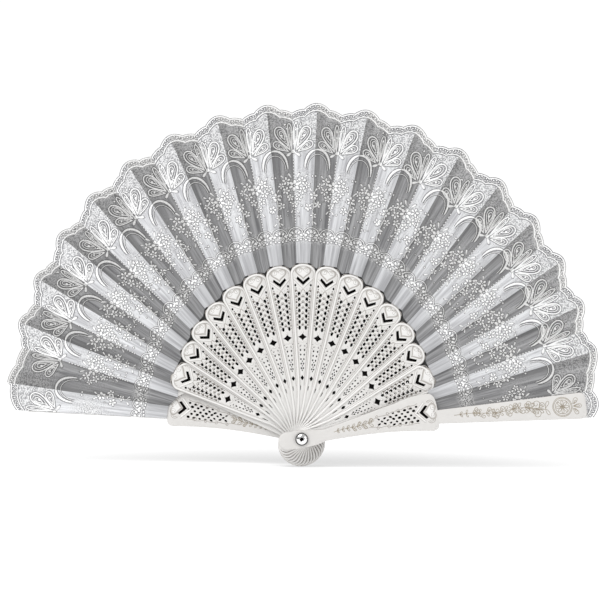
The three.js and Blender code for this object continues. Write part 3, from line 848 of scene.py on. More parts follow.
DASHES = [
    {"near": 0.03, "far": 0.22, "rise": 1.3},
    {"near": 0.44, "far": 0.6, "rise": -0.9},
    {"near": 0.62, "far": 0.72, "rise": 1.0},
]
WAVE = [(0.12, 0), (0.3, 2.2), (0.45, -1.6), (0.66, 0.8)]


def add_stick_carving(carving, k, top):
    add_scallop_carving(carving, 0, top, float(blade_half_width(k, top - SCALLOP_HEIGHT)))
    radii = np.linspace(0.87, 0.3, 26) * top
    for side in (-1, 1):
        rail = np.stack([side * (blade_half_width(k, radii) - 2.1), radii], axis=1)
        carving.ridge(rail, 0.2, 0.25)
        for _, z, half in pattern_rows(k, top, **LEAF_ROWS):
            carving.dome(teardrop((side * 0.1 * half, z - 1.2), side * 38, 0.4 * half, 0.5, 10), 0.3)
            # The dashes are low lines painted dark as the shade in engraved grooves.
            for dash in DASHES:
                start = (side * dash["near"] * half, z + dash["rise"])
                end = (side * dash["far"] * half, z - dash["rise"])
                carving.ridge(np.linspace(start, end, 3), 0.2, 0.05, tone=1)
        for _, z, half in pattern_rows(k, top, **WAVE_ROWS):
            carving.ridge(bezier(*((side * share * half, z + rise) for share, rise in WAVE), 10), 0.24, 0.22)
    for z in (STAR_AT * top + 3.4, STAR_AT * top - 3.4):
        carving.dome(lozenge(0, z, 0.8, 0.8), 0.3)


def rib_root(k):
    """How far below its gorge radius a stick's rib starts, above the piercings of a pierced stick."""
    if k == 1 - END:
        return LEANING_RIB_ROOT
    return PLAIN_RIB_ROOT if is_plain(k) else RIB_ROOT


RIB_COLUMNS = 5
RIB_ROUND = 4


def add_rib(shape, k):
    """The slim strip behind the leaf, tilted with its pleat and rounded at its tip."""
    gorge = float(GORGE[k + END])
    tip = LEAF_SIDE_RADIUS + LEAF_RISE * math.cos(blade_angle(k)) ** LEAF_ROUNDNESS - RIB_TIP_SETBACK
    round_from = tip - RIB_ROUND
    rows = np.linspace(gorge - rib_root(k), round_from, 26)
    rows = np.concatenate([rows, round_from + RIB_ROUND * np.sin(np.radians([25, 50, 75, 90]))])
    rounding = np.clip((rows - round_from) / RIB_ROUND, 0, 1)
    half = RIB_HALF_WIDTH * np.sqrt(1 - 0.92 * rounding**2)
    share = np.linspace(-1, 1, RIB_COLUMNS)
    across = share * half[:, None]
    radius = np.broadcast_to(rows[:, None], across.shape)
    depth = PLEAT_SLOPE * smoothstep((radius - gorge) / PLEAT_EASE) * across
    crown = RIB_THICKNESS / 2 * (1 - 0.35 * np.abs(share) ** 3)
    shape.add_slab([np.stack([across, depth + side * crown, radius], axis=-1) for side in (-1, 1)], RIB_SHADE)


# Where the sheet of painted shade lies behind a stick's openings.
OPENING_SHADE_SPAN = (0.26, 0.95)
OPENING_SHADE_INSET = 1.0
OPENING_SHADE_HALF = 0.05


def make_stick(k):
    """An inner stick with its rib, and the near-black sheet in its openings that paints them in shade."""
    name = f"stick_{k + END:02d}"
    plain = is_plain(k)
    top = float(GORGE[k + END]) - (PLAIN_STICK_DROP if plain else 0)
    outline = leaning_outline(top) if k == 1 - END else stick_outline(k, top)
    holes = [pin_hole()] + ([] if plain else stick_holes(k, top))
    shape = Shape()
    add_plate(shape, outline, holes, BLADE_THICKNESS, STICK_BEVEL, STICK_SHADE)
    if not plain:
        carving = Carving(shape, BLADE_THICKNESS)
        carving.ridge(inset(outline, 0.8), BORDER_HALF_WIDTH, BORDER_HEIGHT, True)
        add_stick_carving(carving, k, top)
    for points in shape.points:
        points[:, 0] += np.where(points[:, 2] > 0, blade_middle(k, points[:, 2]), 0)
    add_rib(shape, k)
    # Less painted shade towards the neck and the head.
    fades = [np.interp(points[:, 2], NECK_FADE_AT, NECK_FADE) for points in shape.points]
    shape.shades = [shade * fade for shade, fade in zip(shape.shades, fades)]
    shape.place(k)
    make_rigid(f"{name}_carved", shape, IVORY, body_name(k), "ivory_plastic", name)
    if not plain:
        heights = np.linspace(*OPENING_SHADE_SPAN, 9) * top
        rows = [(float(blade_middle(k, z)), z, float(blade_half_width(k, z)) - OPENING_SHADE_INSET) for z in heights]
        make_opening_shade(f"{name}_film", k, rows)


def make_opening_shade(name, k, rows):
    """The thin near-black sheet that shows in a blade's openings as painted shade: rows of (middle, radius,
    half width).
    """
    grids = []
    for side in (-1, 1):
        depth = side * OPENING_SHADE_HALF
        grid = [[(x + end * half, depth + lift_at(k, z), z) for end in (-1, 1)] for x, z, half in rows]
        grids.append(place(grid, k))
    shape = Shape()
    shape.add_slab(grids, 0.0)
    make_rigid(name, shape, OPENING_SHADE, body_name(k), "ivory_plastic")


# Guards
def lift_at(k, radius):
    """How far the middle of a blade lies from its level at a radius."""
    swelling = (GUARD_THICKNESS - BLADE_THICKNESS) / 2
    if k == END:
        return -(np.interp(radius, BOW_AT, FRONT_BOW) + swelling)
    if k == -END:
        return np.interp(radius, BOW_AT, BACK_BOW) + swelling
    return np.zeros(np.shape(radius))


def guard_outline():
    """The front guard's outline: the back guard is its mirror image."""
    neck, far, top = GUARD_NECK_HALF_WIDTH, SHOULDER_RADIUS, GUARD_TIP_RADIUS
    near, sweep_from = far - SHOULDER_CORNER, far - SHOULDER_SWEEP
    tip = GUARD_RIB_TIP_HALF / 2
    root_in, root_out = (rib_lean(far) + side * GUARD_RIB_ROOT_HALF for side in (1, -1))
    end_in, end_out = (rib_lean(top) + side * GUARD_RIB_TIP_HALF for side in (1, -1))
    outline = route(
        (neck, 0),
        ((WAIST_INNER, WAIST_RADIUS / 2), (WAIST_INNER, WAIST_RADIUS), 12),
        ((WEDGE_INNER, WEDGE_RADIUS), 14),
        ((SHOULDER_INNER, (WEDGE_RADIUS + sweep_from) / 2), (SHOULDER_INNER, sweep_from), 12),
        ((SHOULDER_INNER, sweep_from + SWEEP_UP), (SHOULDER_INNER - SWEEP_IN, far), (root_in, far), 14),
        ((end_in, top - tip), 16),
        ((end_in, top), (end_in - tip, top), 9),
        ((end_out + tip, top), 2),
        ((end_out, top), (end_out, top - tip), 9),
        ((root_out, far), 16),
        ((-SHOULDER_OUTER, far), (-SHOULDER_OUTER, near), 7),
        ((-HOLLOW_OUTER, (near + HOLLOW_RADIUS) / 2), (-HOLLOW_OUTER, HOLLOW_RADIUS), 12),
        ((-HOLLOW_OUTER, (HOLLOW_RADIUS + WAIST_RADIUS) / 2), (-WAIST_OUTER, WAIST_RADIUS), 12),
        ((-neck, WAIST_RADIUS / 2), (-neck, 0), 12),
    )
    return np.concatenate([outline, head_arc(neck, END)]) * [-1, 1]


CARVING_HALF = 8.4
CARVING_MIDDLE = GUARD_PIERCING_MIDDLE - 0.4
GUARD_ROWS_FROM = 0.85
GUARD_ROW_STEP = 0.0215
GUARD_HOLE_ROWS = 14


def guard_middle(inner, radius):
    """The middle line of the carving on a guard's shoulder."""
    return inner * CARVING_MIDDLE * radius / (CHEVRON_AT * SHOULDER_RADIUS)


def guard_holes():
    at = CHEVRON_AT * SHOULDER_RADIUS
    holes = [chevron(guard_middle(-1, at), at)]
    for row in range(GUARD_HOLE_ROWS):
        z = SHOULDER_RADIUS * (GUARD_ROWS_FROM - GUARD_ROW_STEP * row)
        half = CARVING_HALF * z / SHOULDER_RADIUS
        columns = (-0.36, 0.36) if row % 2 else (-0.7, 0, 0.7)
        for column in columns:
            freely = 1 + 0.14 * math.sin(2.4 * row + 3.1 * column)
            size = (0.13 * half - 0.15 * abs(column)) * freely
            x = guard_middle(-1, z) + (column + 0.02 * math.sin(3.7 * row)) * half
            tilt = 26 * math.sin(1.7 * row + 5 * column)
            if abs(column) < 0.5 or row < 9:
                holes.append(oval(x, z, size, 1.06 * freely, tilt)[::-1])
    return holes


def flower_paths(centre, petals, length, half_width, start_deg=0):
    return [teardrop(centre, start_deg + 360 * n / petals, length, half_width, 12) for n in range(petals)]


def leaf_and_curl(at, n, tilts, leaf, curl):
    """A pair of leaves of (length, half width), and a curl of (aside, rise, radius, turns, steps)."""
    x, z = at
    paths = [(teardrop(at, tilt, *leaf, 10), True) for tilt in tilts]
    if curl:
        side = 1 if n % 2 else -1
        aside, rise, radius, turns, steps = curl
        line = spiral((x + side * aside, z + rise), radius, 90 + side * 80, side * turns, steps)
        paths.append((line, False))
    return paths


def foot_scroll(inner):
    """The line ornament on a guard's foot: a stem with pairs of leaves and small curls."""
    stem = bezier((inner * 2.0, 23), (inner * 4.5, 32), (inner * 2.6, 40), (inner * 6.4, 52), 24)
    paths = [(stem, False)]
    for n, at in enumerate(stem[2::3][:7]):
        tilts = (2 * n - 48, 48 - 2 * n)
        curl = (1.9, 2.6, 1.2 + 0.1 * n, 1.2, 16) if n > 2 else None
        paths += leaf_and_curl(at, n, tilts, (2.0 + 0.4 * n, 0.6 + 0.08 * n), curl)
    return paths


SCROLL_START = 108
SCROLL_LENGTH = 64
BOWS = {124: 2.7, 137: 3.3, 150: 3.9, 161: 4.2}
ROSETTE = (0, 184)
ROSETTE_RINGS = (6.8, 6.1, 4.9, 1.3)


def rib_scroll(inner):
    """The line ornament along a guard's rib: leaves, four bows, scrolls and a rosette."""
    sway = np.linspace(0, 1, 60)
    across = inner * (0.6 + 1.1 * np.sin(sway * 11)) * (0.3 + sway)
    along = SCROLL_START + SCROLL_LENGTH * sway
    paths = [(np.stack([across, along], axis=1), False)]
    for n in range(13):
        z = SCROLL_START + 4 + 4.6 * n
        tilt = 40 + 25 * (n % 2)
        curl = (2.5, 3.0, 1.5 + 0.1 * n, 1.3, 18) if n > 1 else None
        at = (float(np.interp(z, along, across)), z)
        paths += leaf_and_curl(at, n, (-tilt, tilt), (2.6 + 0.14 * n, 0.75 + 0.04 * n), curl)
    for z, size in BOWS.items():
        x = float(np.interp(z, along, across))
        paths += [(path, True) for path in flower_paths((x, z), 4, size, 0.4 * size, 45)]
    for side in (-1, 1):
        paths.append((spiral((side * 3.4, 166), 3.3, -90 - side * 60, -side * 1.4), False))
        paths.append((teardrop((0, 172), side * 62, 5.4, 1.4, 12), True))
    paths += [(arc(ROSETTE, radius, 0, 348, 30), True) for radius in ROSETTE_RINGS]
    paths += [(path, True) for path in flower_paths(ROSETTE, 8, 4.5, 1.1)]
    for side in (-1, 0, 1):
        paths.append((teardrop((side * 1.6, 191.4), side * 52, 6.0 - abs(side), 1.9, 14), True))
        paths.append((teardrop((side * 1.6, 192.2), side * 52, 3.8 - abs(side), 0.9, 12), True))
    for path, _ in paths:
        path[:, 0] += inner * rib_lean(path[:, 1])
    return paths


def shoulder_lines(inner):
    """The outline and curls round the piercings of a guard's shoulder, painted dark as the shade in engraved
    grooves.
    """
    z = np.linspace(0.44, 0.86, 30) * SHOULDER_RADIUS
    fading = np.linspace(0, 1, len(z)) ** 0.25
    wave = 0.35 * np.sin(np.linspace(0, 8 * np.pi, len(z)))
    reach = CARVING_HALF * z / SHOULDER_RADIUS * 0.98 * fading + wave
    lines = []
    for side in (-1, 1):
        lines.append(np.stack([guard_middle(inner, z) + side * reach, z], axis=1))
        for n in range(4):
            at = SHOULDER_RADIUS * (0.56 + 0.08 * n)
            centre = (guard_middle(inner, at) + side * 0.85 * CARVING_HALF * at / SHOULDER_RADIUS, at)
            lines.append(spiral(centre, 1.3 + 0.15 * n, 90 + side * 60, side * 1.2, 14))
    return lines


GUARD_BEVEL = 0.25
# More flat painted shade on the guards, as they face the light at another angle.
GUARD_SHADE = 0.26
GUARD_OPENING_SHADE_AT = 87
GUARD_SCALLOP_DROP = 1.2
GUARD_SCALLOP_HALF = 9.2


SHOULDER_LINE_HALF = 0.16
SCROLL_LINE_HALF = 0.15


def make_guard(k):
    """A guard with its carving and line ornament: the rib's ornament is on its outer face only."""
    inner = -math.copysign(1, k)
    name = "guard_front" if k == END else "guard_back"
    plate, lines = Shape(), Shape()
    holes = [pin_hole()] + guard_holes()
    add_plate(plate, guard_outline(), holes, GUARD_THICKNESS, GUARD_BEVEL, GUARD_SHADE, BOW_AT[:3])
    plate.points[0][:, 0] *= -inner
    x = inner * CARVING_MIDDLE
    for front in [True] if k == END else [True, False]:
        carving = Carving(plate, GUARD_THICKNESS, front)
        add_scallop_carving(carving, x, SHOULDER_RADIUS - GUARD_SCALLOP_DROP, GUARD_SCALLOP_HALF)
        for line in shoulder_lines(inner):
            # Shoulder lines painted dark as the shade in engraved grooves.
            carving.ridge(line, SHOULDER_LINE_HALF, LINE_HEIGHT, tone=0.9)
        drawing = Carving(lines, GUARD_THICKNESS, front)
        outer = front == (k == END)
        for path, closed in foot_scroll(inner) + (rib_scroll(inner) if outer else []):
            drawing.ridge(path, SCROLL_LINE_HALF, LINE_HEIGHT, closed)
    for shape in (plate, lines):
        for points in shape.points:
            points[:, 1] += lift_at(k, points[:, 2])
        shape.place(k)
    make_rigid(f"{name}_carved", plate, IVORY, body_name(k), "ivory_plastic", name)
    make_rigid(f"{name}_scroll", lines, GOLD_LINE, body_name(k), "ivory_plastic")
    rows = [(x * z / GUARD_OPENING_SHADE_AT, z, 1.2 + 7.0 * (z - 30) / 60) for z in np.linspace(36, 92, 9)]
    make_opening_shade(f"{name}_film", k, rows)


# Rivet
RIVET_CROWN = 2.3
RECESS_RADIUS = 1.25
TURNING_STEPS = 48


def turned(profile):
    """Rings of points about the Y axis, one for each (radius, y) of a profile."""
    turns = whole_turn(TURNING_STEPS)
    radius, height = np.array(profile, float).T[:, :, None]
    return np.stack([radius * np.cos(turns), height + 0 * turns, radius * np.sin(turns)], axis=-1)


def add_lathe(shape, profile, shades):
    """A body of revolution: its profile runs from axis to axis."""
    points = turned(profile[1:-1])
    rings, steps = points.shape[:2]
    count, last = rings * steps, (rings - 1) * steps
    faces = ring_faces(rings, steps, False)[:-2]
    for n in range(steps):
        after = (n + 1) % steps
        faces += [(after, n, count), (last + n, last + after, count + 1)]
    poles = [[0, profile[0][1], 0], [0, profile[-1][1], 0]]
    shade = np.concatenate([np.repeat(shades[1:-1], steps), [shades[0], shades[-1]]])
    shape.add(np.concatenate([points.reshape(-1, 3), poles]), faces, shade)


def ring_shape(outer, low, high, round_by):
    """A flat ring round the pin, rounded at its outer edge."""
    corners = [(PIN_HOLE, low), (outer - round_by, low), (outer, low + round_by)]
    corners += [(outer, high - round_by), (outer - round_by, high), (PIN_HOLE, high)]
    shape = Shape()
    shape.add(np.swapaxes(turned(corners), 0, 1), ring_faces(TURNING_STEPS, len(corners), True), 0.0)
    return shape


DOME_RADIUS = 3.9
DOME_RISE = 2.0


def make_rivet():
    """The pin with its domed head, the cap behind it and the two washers."""
    washer_in = STACK_HALF + SEAT_GAP
    washer_out = washer_in + WASHER_THICKNESS
    head_in = washer_out + SEAT_GAP
    cap_out = head_in + CAP_THICKNESS
    crown = -head_in - RIVET_CROWN
    dome = [(0, crown + 0.9), (RECESS_RADIUS - 0.35, crown + 0.8), (RECESS_RADIUS, crown + 0.25)]
    arch = np.radians(np.linspace(66, 8, 10))
    dome += [(DOME_RADIUS * math.cos(turn), -head_in - 0.45 - DOME_RISE * math.sin(turn)) for turn in arch]
    dome += [(4.0, -head_in - 0.3), (RIVET_HEAD_RADIUS, -head_in - 0.38), (RIVET_HEAD_RADIUS, -head_in)]
    dome += [(PIN_RADIUS, -head_in), (PIN_RADIUS, cap_out - 0.2), (PIN_RADIUS - 0.2, cap_out), (0, cap_out)]
    pin = Shape()
    # Shade 1 paints shade in the recess atop the dome and round its rim.
    add_lathe(pin, dome, [1, 1, 1, *[0] * len(arch), 1, 0.8, 1, 0, 0, 0, 0])
    cap = ring_shape(RIVET_HEAD_RADIUS, head_in, cap_out, 0.35)
    front = ring_shape(WASHER_RADIUS, -washer_out, -washer_in, 0.12)
    back = ring_shape(WASHER_RADIUS, washer_in, washer_out, 0.12)
    for shape, node in ((pin, "rivet_pin"), (cap, "rivet_cap")):
        make_rigid(f"{node}_turned", shape, CHROME, "back_guard", "chrome", node)
    for shape, node in ((front, "washer_front"), (back, "washer_back")):
        make_rigid(f"{node}_turned", shape, STEEL, "back_guard", "dark_steel", node)


# Leaf cloth
CLOTH_COLUMNS = 21
CLOTH_ROWS = 44
BAND_MIDDLE = 20.5
HEM_BELOW_GORGE = 8.4
HEM_LAP = 1.7
HEM_BEHIND = BLADE_THICKNESS / 2 + 0.05
HEM_THICKNESS = 0.05


def strip_span(strip, inside=1e-5):
    """The two angles between which a strip lies, a hair inside its edges."""
    return EDGES[strip] + inside, EDGES[strip + 1] - inside


def blend_between(obj):
    """Bakes a piece's placement into its mesh, leaving it on no single blade."""
    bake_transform(obj)


def attach_strip(obj, strip):
    """A glued strip rides on its blade; a folding strip is left between its two blades, its placement baked
    into its mesh.
    """
    index = strip // 2
    if strip % 2 == 0:
        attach(obj, body_name(BLADES[index]))
        return
    blend_between(obj)


def strip_label(strip):
    return f"leaf_{('panel', 'fold')[strip % 2]}_{strip // 2 + 1:02d}"


def make_strip(kind, shape, strip, materials, smooth_deg=35):
    """A piece of one strip: the glued strips are light and the folding ones dark."""
    obj = make_object(f"{strip_label(strip)}_{kind}", shape, materials[strip % 2], smooth_deg)
    attach_strip(obj, strip)
    return obj


def strip_flat_size(middle):
    """(width, length, area) in metres of a strip's middle surface, laid out from its grid of points."""
    across, along = (np.linalg.norm(np.diff(middle, axis=axis), axis=2) for axis in (1, 0))
    widths = across.sum(axis=1)
    area = np.sum((widths[1:] + widths[:-1]) / 2 * along.mean(axis=1))
    return widths.max() * MM, along.sum(axis=0).max() * MM, area * MM * MM


BORDER_SHARE = 0.055
LOOPED_SHARE = 0.30
SPRAY_SHARE = 0.50


def net_share(theta, radius):
    """How much net the cloth shows: in its border, between the loops, at the sprays and in the band."""
    phase = np.interp(theta, EDGES, PHASES)
    gorge = np.interp(theta, ANGLE, GORGE)
    share = (edge_radius(theta) - radius) / (edge_radius(theta) - gorge)
    across = np.abs(phase - np.round(phase - 0.5) - 0.5) * 2
    light = strip_of(theta) % 2 == 0
    border = np.clip((BORDER_SHARE - share) / 0.01, 0, 1) * np.where(light, 0.2, 0.75)
    looped = np.clip((LOOPED_SHARE - share) / 0.05, 0, 1) * np.where(light, 0.7, 0.3)
    spray = np.clip(1 - np.abs(share - SPRAY_SHARE) / 0.16, 0, 1) * np.clip(1.2 - across, 0, 1)
    band = np.clip(1.6 - np.abs(radius - gorge - BAND_MIDDLE) / 4.0, 0, 1) * 0.8
    return np.maximum.reduce([border, looped, spray * np.where(light, 0.9, 0.25), band])


def make_cloth(strip):
    """The cloth of one strip, its (width, length) laid out flat and its area."""
    theta = np.linspace(*strip_span(strip, 1e-6), CLOTH_COLUMNS)
    share = np.linspace(0, 1, CLOTH_ROWS)[:, None]
    radius = hem_radius(theta) * (1 - share) + edge_radius(theta) * share
    theta = np.broadcast_to(theta, radius.shape)
    shape = Shape()
    grids = [leaf_points(theta, radius, side * LEAF_THICKNESS / 2) for side in (1, -1)]
    shape.add_slab(grids, np.tile(net_share(theta, radius).ravel(), 2))
    obj = make_strip("cloth", shape, strip, (LIGHT_CLOTH, DARK_CLOTH))
    across = np.linspace(0, 1, CLOTH_COLUMNS)
    # The across values are painted fold shade: a glued strip darkens towards its right edge and towards the
    # gorge, and a folding strip towards its left edge and a little towards its right.
    if strip % 2 == 0:
        tone = 0.30 * across**2 + 0.55 * (1 - smoothstep(share / 0.42))
    else:
        tone = 0.75 * (1 - smoothstep(across / 0.45)) + 0.35 * smoothstep((across - 0.7) / 0.3)
    set_values(obj.data, "across", np.tile(np.broadcast_to(tone, radius.shape).ravel(), 2))
    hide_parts(strip_label(strip))
    return obj, strip_flat_size(leaf_points(theta, radius))


HEM_ROWS = 6
HEM_COLUMNS = 17


def make_hem(index):
    """The leaf's margin between two blades, near black as painted shadow where it shows in the notches beside
    their scallops.
    """
    share = np.linspace(0, 1, HEM_COLUMNS)
    theta = ANGLE[index] + (ANGLE[index + 1] - ANGLE[index]) * share
    gorge = GORGE[index] + (GORGE[index + 1] - GORGE[index]) * share
    low, high = gorge - HEM_BELOW_GORGE, hem_radius(theta) + HEM_LAP
    radius = low + (high - low) * np.linspace(0, 1, HEM_ROWS)[:, None]
    depth = LEVEL[index] + HEM_BEHIND - LAYER * smoothstep((share - 0.6) / 0.4)
    grids = []
    for side in (-1, 1):
        across = np.broadcast_to(depth + side * HEM_THICKNESS / 2, radius.shape)
        grids.append(np.stack([radius * np.sin(theta), across, radius * np.cos(theta)], axis=-1))
    shape = Shape()
    shape.add_slab(grids, 0.0)
    obj = make_object(f"leaf_hem_shadow_{index:02d}", shape, HEM_SHADOW)
    blend_between(obj)


# Lace
THREAD = 0.42
CLOTH_FACE = LEAF_THICKNESS / 2
MARGIN = 0.42
# Less painted shade on the border's threads where they cross the folding strips.
BORDER_TONE = -0.5
# The outer rails and the flat margin beside them carry shade 1: a painted shadow outline round each thread.
THREAD_PROFILE = [
    {"share": 1.2, "beside": MARGIN, "lift": 0.025, "shade": 1},
    {"share": 1.2, "beside": 0, "lift": 0.07, "shade": 1},
    {"share": 0.6, "beside": 0, "lift": 0.3, "shade": 0},
    {"share": -0.6, "beside": 0, "lift": 0.3, "shade": 0},
    {"share": -1.2, "beside": 0, "lift": 0.07, "shade": 1},
    {"share": -1.2, "beside": -MARGIN, "lift": 0.025, "shade": 1},
    {"share": 0, "beside": 0, "lift": -0.62, "shade": 0},
]
BLOB_RINGS = [(1, 0.07), (0.76, 0.26)]
BLOB_TOP = 0.34
BLOB_FOOT = -0.2


class Lace:
    """Lace drawn over (angle, radius) and shared out among the strips of the leaf."""

    def __init__(self):
        self.shapes = [Shape() for _ in range(STRIPS)]

    def thread(self, theta, radius, half_width=THREAD, closed=False, taper=False, tone=0.0):
        """A thread along a path, which is cut at the edges of the strips."""
        path = np.stack([theta, radius], axis=1)
        strips = strip_of(path[:, 0])
        if closed:
            jumps = np.nonzero(strips != np.roll(strips, 1))[0]
            if len(jumps) == 0:
                self.run(path, half_width, True, False, tone)
                return
            path = np.roll(path, -jumps[0], axis=0)
            path = np.append(path, path[:1], axis=0)
            strips = strip_of(path[:, 0])
        start, lead = 0, []
        for n in range(1, len(path) + 1):
            if n < len(path) and strips[n] == strips[start]:
                continue
            piece = [*lead, *path[start:n]]
            if n < len(path):
                here, there = path[n - 1 : n + 1]
                edge = EDGES[max(strips[n], strips[start])]
                share = (edge - here[0]) / (there[0] - here[0])
                lead = [(edge, here[1] + share * (there[1] - here[1]))]
                piece += lead
            if len(piece) > 1:
                self.run(np.array(piece), half_width, False, taper, tone)
            start = n

    def run(self, path, half_width, closed, taper, tone):
        """A thread that stays in one strip."""
        theta, radius = path.T
        strip = int(strip_of(theta[len(theta) // 2] if len(theta) > 2 else theta.mean()))
        low, high = strip_span(strip)
        theta = np.clip(theta, low, high)
        if closed:
            along_theta, along_radius = (np.roll(line, -1) - np.roll(line, 1) for line in (theta, radius))
        else:
            along_theta, along_radius = np.gradient(theta), np.gradient(radius)
        across = radius * along_theta
        length = np.maximum(np.hypot(across, along_radius), 1e-6)
        width = np.full(len(theta), half_width)
        if taper:
            width = half_width * (0.35 + 0.65 * np.sin(np.pi * np.linspace(0, 1, len(theta))) ** 0.5)
        rails = []
        for rail in THREAD_PROFILE:
            aside = rail["share"] * width + rail["beside"]
            rail_theta = np.clip(theta - along_radius / length * aside / radius, low, high)
            rails.append(leaf_points(rail_theta, radius + across / length * aside, CLOTH_FACE + rail["lift"]))
        # A tone shifts the painted shade of a thread, on the folding strips only.
        shade = np.tile([rail["shade"] for rail in THREAD_PROFILE], len(theta)) + tone * (strip % 2)
        self.shapes[strip].add(np.stack(rails, axis=1), ring_faces(len(theta), len(rails), closed), shade)

    def blob(self, theta, radius, tone=0.0):
        """A filled motif, whose outline is cut at the edges of the strips."""
        for strip in range(strip_of(theta.min()), strip_of(theta.max()) + 1):
            low, high = strip_span(strip)
            outline = np.array(clip_outline(theta, radius, low, high))
            count = len(outline)
            if count < 3:
                continue
            middle = outline.mean(axis=0)
            reach = np.hypot((outline[:, 0] - middle[0]) * middle[1], outline[:, 1] - middle[1]).max()
            points = []
            for scale, lift in [(1 + MARGIN / max(reach, MARGIN), 0.02), *BLOB_RINGS]:
                ring = middle + (outline - middle) * scale
                points.append(leaf_points(np.clip(ring[:, 0], low, high), ring[:, 1], CLOTH_FACE + lift))
            points.append(leaf_points(*middle, [CLOTH_FACE + BLOB_TOP, BLOB_FOOT - CLOTH_FACE]))
            faces = []
            for n in range(count):
                after = (n + 1) % count
                for ring in (0, count):
                    faces.append((ring + n, ring + after, ring + count + after, ring + count + n))
                faces.append((2 * count + n, 2 * count + after, 3 * count))
                faces.append((after, n, 3 * count + 1))
            # The margin ring and the outline ring carry shade 1: a painted shadow outline round the motif.
            shade = np.repeat([1.0, 0.0], [2 * count, count + 2]) + tone * (strip % 2)
            self.shapes[strip].add(np.concatenate(points), faces, shade)

    def make(self):
        """The lace of each strip that has any, by the strip's number."""
        threads = (LIGHT_THREAD, SHADED_THREAD)
        drawn = {strip: shape for strip, shape in enumerate(self.shapes) if shape.points}
        return {strip: make_strip("lace", shape, strip, threads, 60) for strip, shape in drawn.items()}


def clip_outline(theta, radius, low, high):
    """The part of a closed outline between two angles."""
    points = list(zip(theta, radius))
    for bound, sign in ((low, 1), (high, -1)):
        kept = []
        for here, there in zip(points, points[1:] + points[:1]):
            inside_here, inside_there = (sign * (p[0] - bound) >= 0 for p in (here, there))
            if inside_here:
                kept.append(here)
            if inside_here != inside_there:
                share = (bound - here[0]) / (there[0] - here[0])
                kept.append((bound, here[1] + share * (there[1] - here[1])))
        points = kept
        if not points:
            break
    return points


LOOPS = [
    {"start": (1.0, 1.0), "tilt": 5, "length": 20.5, "half": 2.3, "line": 0.38},
    {"start": (1.2, 4.0), "tilt": 5, "length": 14.5, "half": 0.9, "line": 0.24},
    {"start": (2.4, 1.0), "tilt": 29, "length": 20.5, "half": 5.4, "line": 0.46},
    {"start": (3.8, 4.4), "tilt": 29, "length": 14.6, "half": 3.6, "line": 0.26},
    {"start": (5.9, 8.8), "tilt": 29, "length": 7.8, "half": 2.1, "line": 0.32},
    {"start": (3.6, 0.0), "tilt": 57, "length": 13.5, "half": 3.6, "line": 0.4},
    {"start": (6.2, 1.6), "tilt": 57, "length": 8.2, "half": 1.9, "line": 0.26},
]


class Pen:
    """Draws on the lace in millimetres, across a centre angle and up from the rivet."""

    def __init__(self, lace, centre):
        self.lace = lace
        self.centre = centre

    def on_leaf(self, path):
        return self.centre + path[:, 0] / path[:, 1], path[:, 1]

    def line(self, path, half_width, **options):
        self.lace.thread(*self.on_leaf(path), half_width, **options)

    def fill(self, outline, tone=0.0):
        self.lace.blob(*self.on_leaf(outline), tone)

    def oval(self, *sizes):
        self.fill(oval(*sizes))

    def leaf(self, *sizes):
        self.fill(teardrop(*sizes))

    def flower(self, x, z, size, petals=6, start_deg=0):
        """Slim filled petals round an open middle."""
        for n in range(petals):
            turn = start_deg + 360 * n / petals
            lean = math.radians(turn)
            petal = (x + 0.62 * size * math.sin(lean), z + 0.62 * size * math.cos(lean))
            self.oval(*petal, 0.27 * size, 0.42 * size, turn)
        self.oval(x, z, 0.15 * size, 0.15 * size, 0, 6)


def loops(pen, base, scale, sides):
    """The fan of tear-shaped loops under the leaf's border."""
    for side in sides:
        for loop in LOOPS:
            start = (side * loop["start"][0] * scale, base + loop["start"][1] * scale)
            outline = teardrop(start, side * loop["tilt"], loop["length"] * scale, loop["half"] * scale, 30)
            pen.line(outline, loop["line"], closed=True)
        pen.oval(side * 8.7 * scale, base + 12.3 * scale, 1.0 * scale, 1.2 * scale, side * 27, 8)
        for n in range(3):
            pen.oval(side * (4.2 + 0.9 * n) * scale, base + (4.4 + 1.7 * n) * scale, 0.45, 0.7, side * 27, 6)
        pen.oval(side * 10.8 * scale, base + 4.8 * scale, 0.9 * scale, 0.9 * scale, 0, 8)
        pen.leaf((side * 0.4, base - 0.4), side * 122, 6.0 * scale, 1.5, 12)
    pen.oval(0, base, 1.5, 1.5, 0, 8)


def arch(pen, foot, half_width, height):
    """The double arch between two fans of loops."""
    turns = np.linspace(0, np.pi, 34)
    for shrink, line in ((1.0, 0.85), (0.83, 0.22)):
        x = shrink * half_width * np.cos(turns)
        z = foot + height * (shrink * np.sin(turns) ** 0.85 - (1 - shrink) * 0.5)
        pen.line(np.stack([x, z], axis=1), line, taper=shrink == 1.0)


CLUSTER = [
    {"at": (6.0, 3.6), "size": 3.3},
    {"at": (6.2, -3.8), "size": 3.1},
    {"at": (10.0, 0.2), "size": 2.5},
    {"at": (3.2, -9.2), "size": 2.8},
]


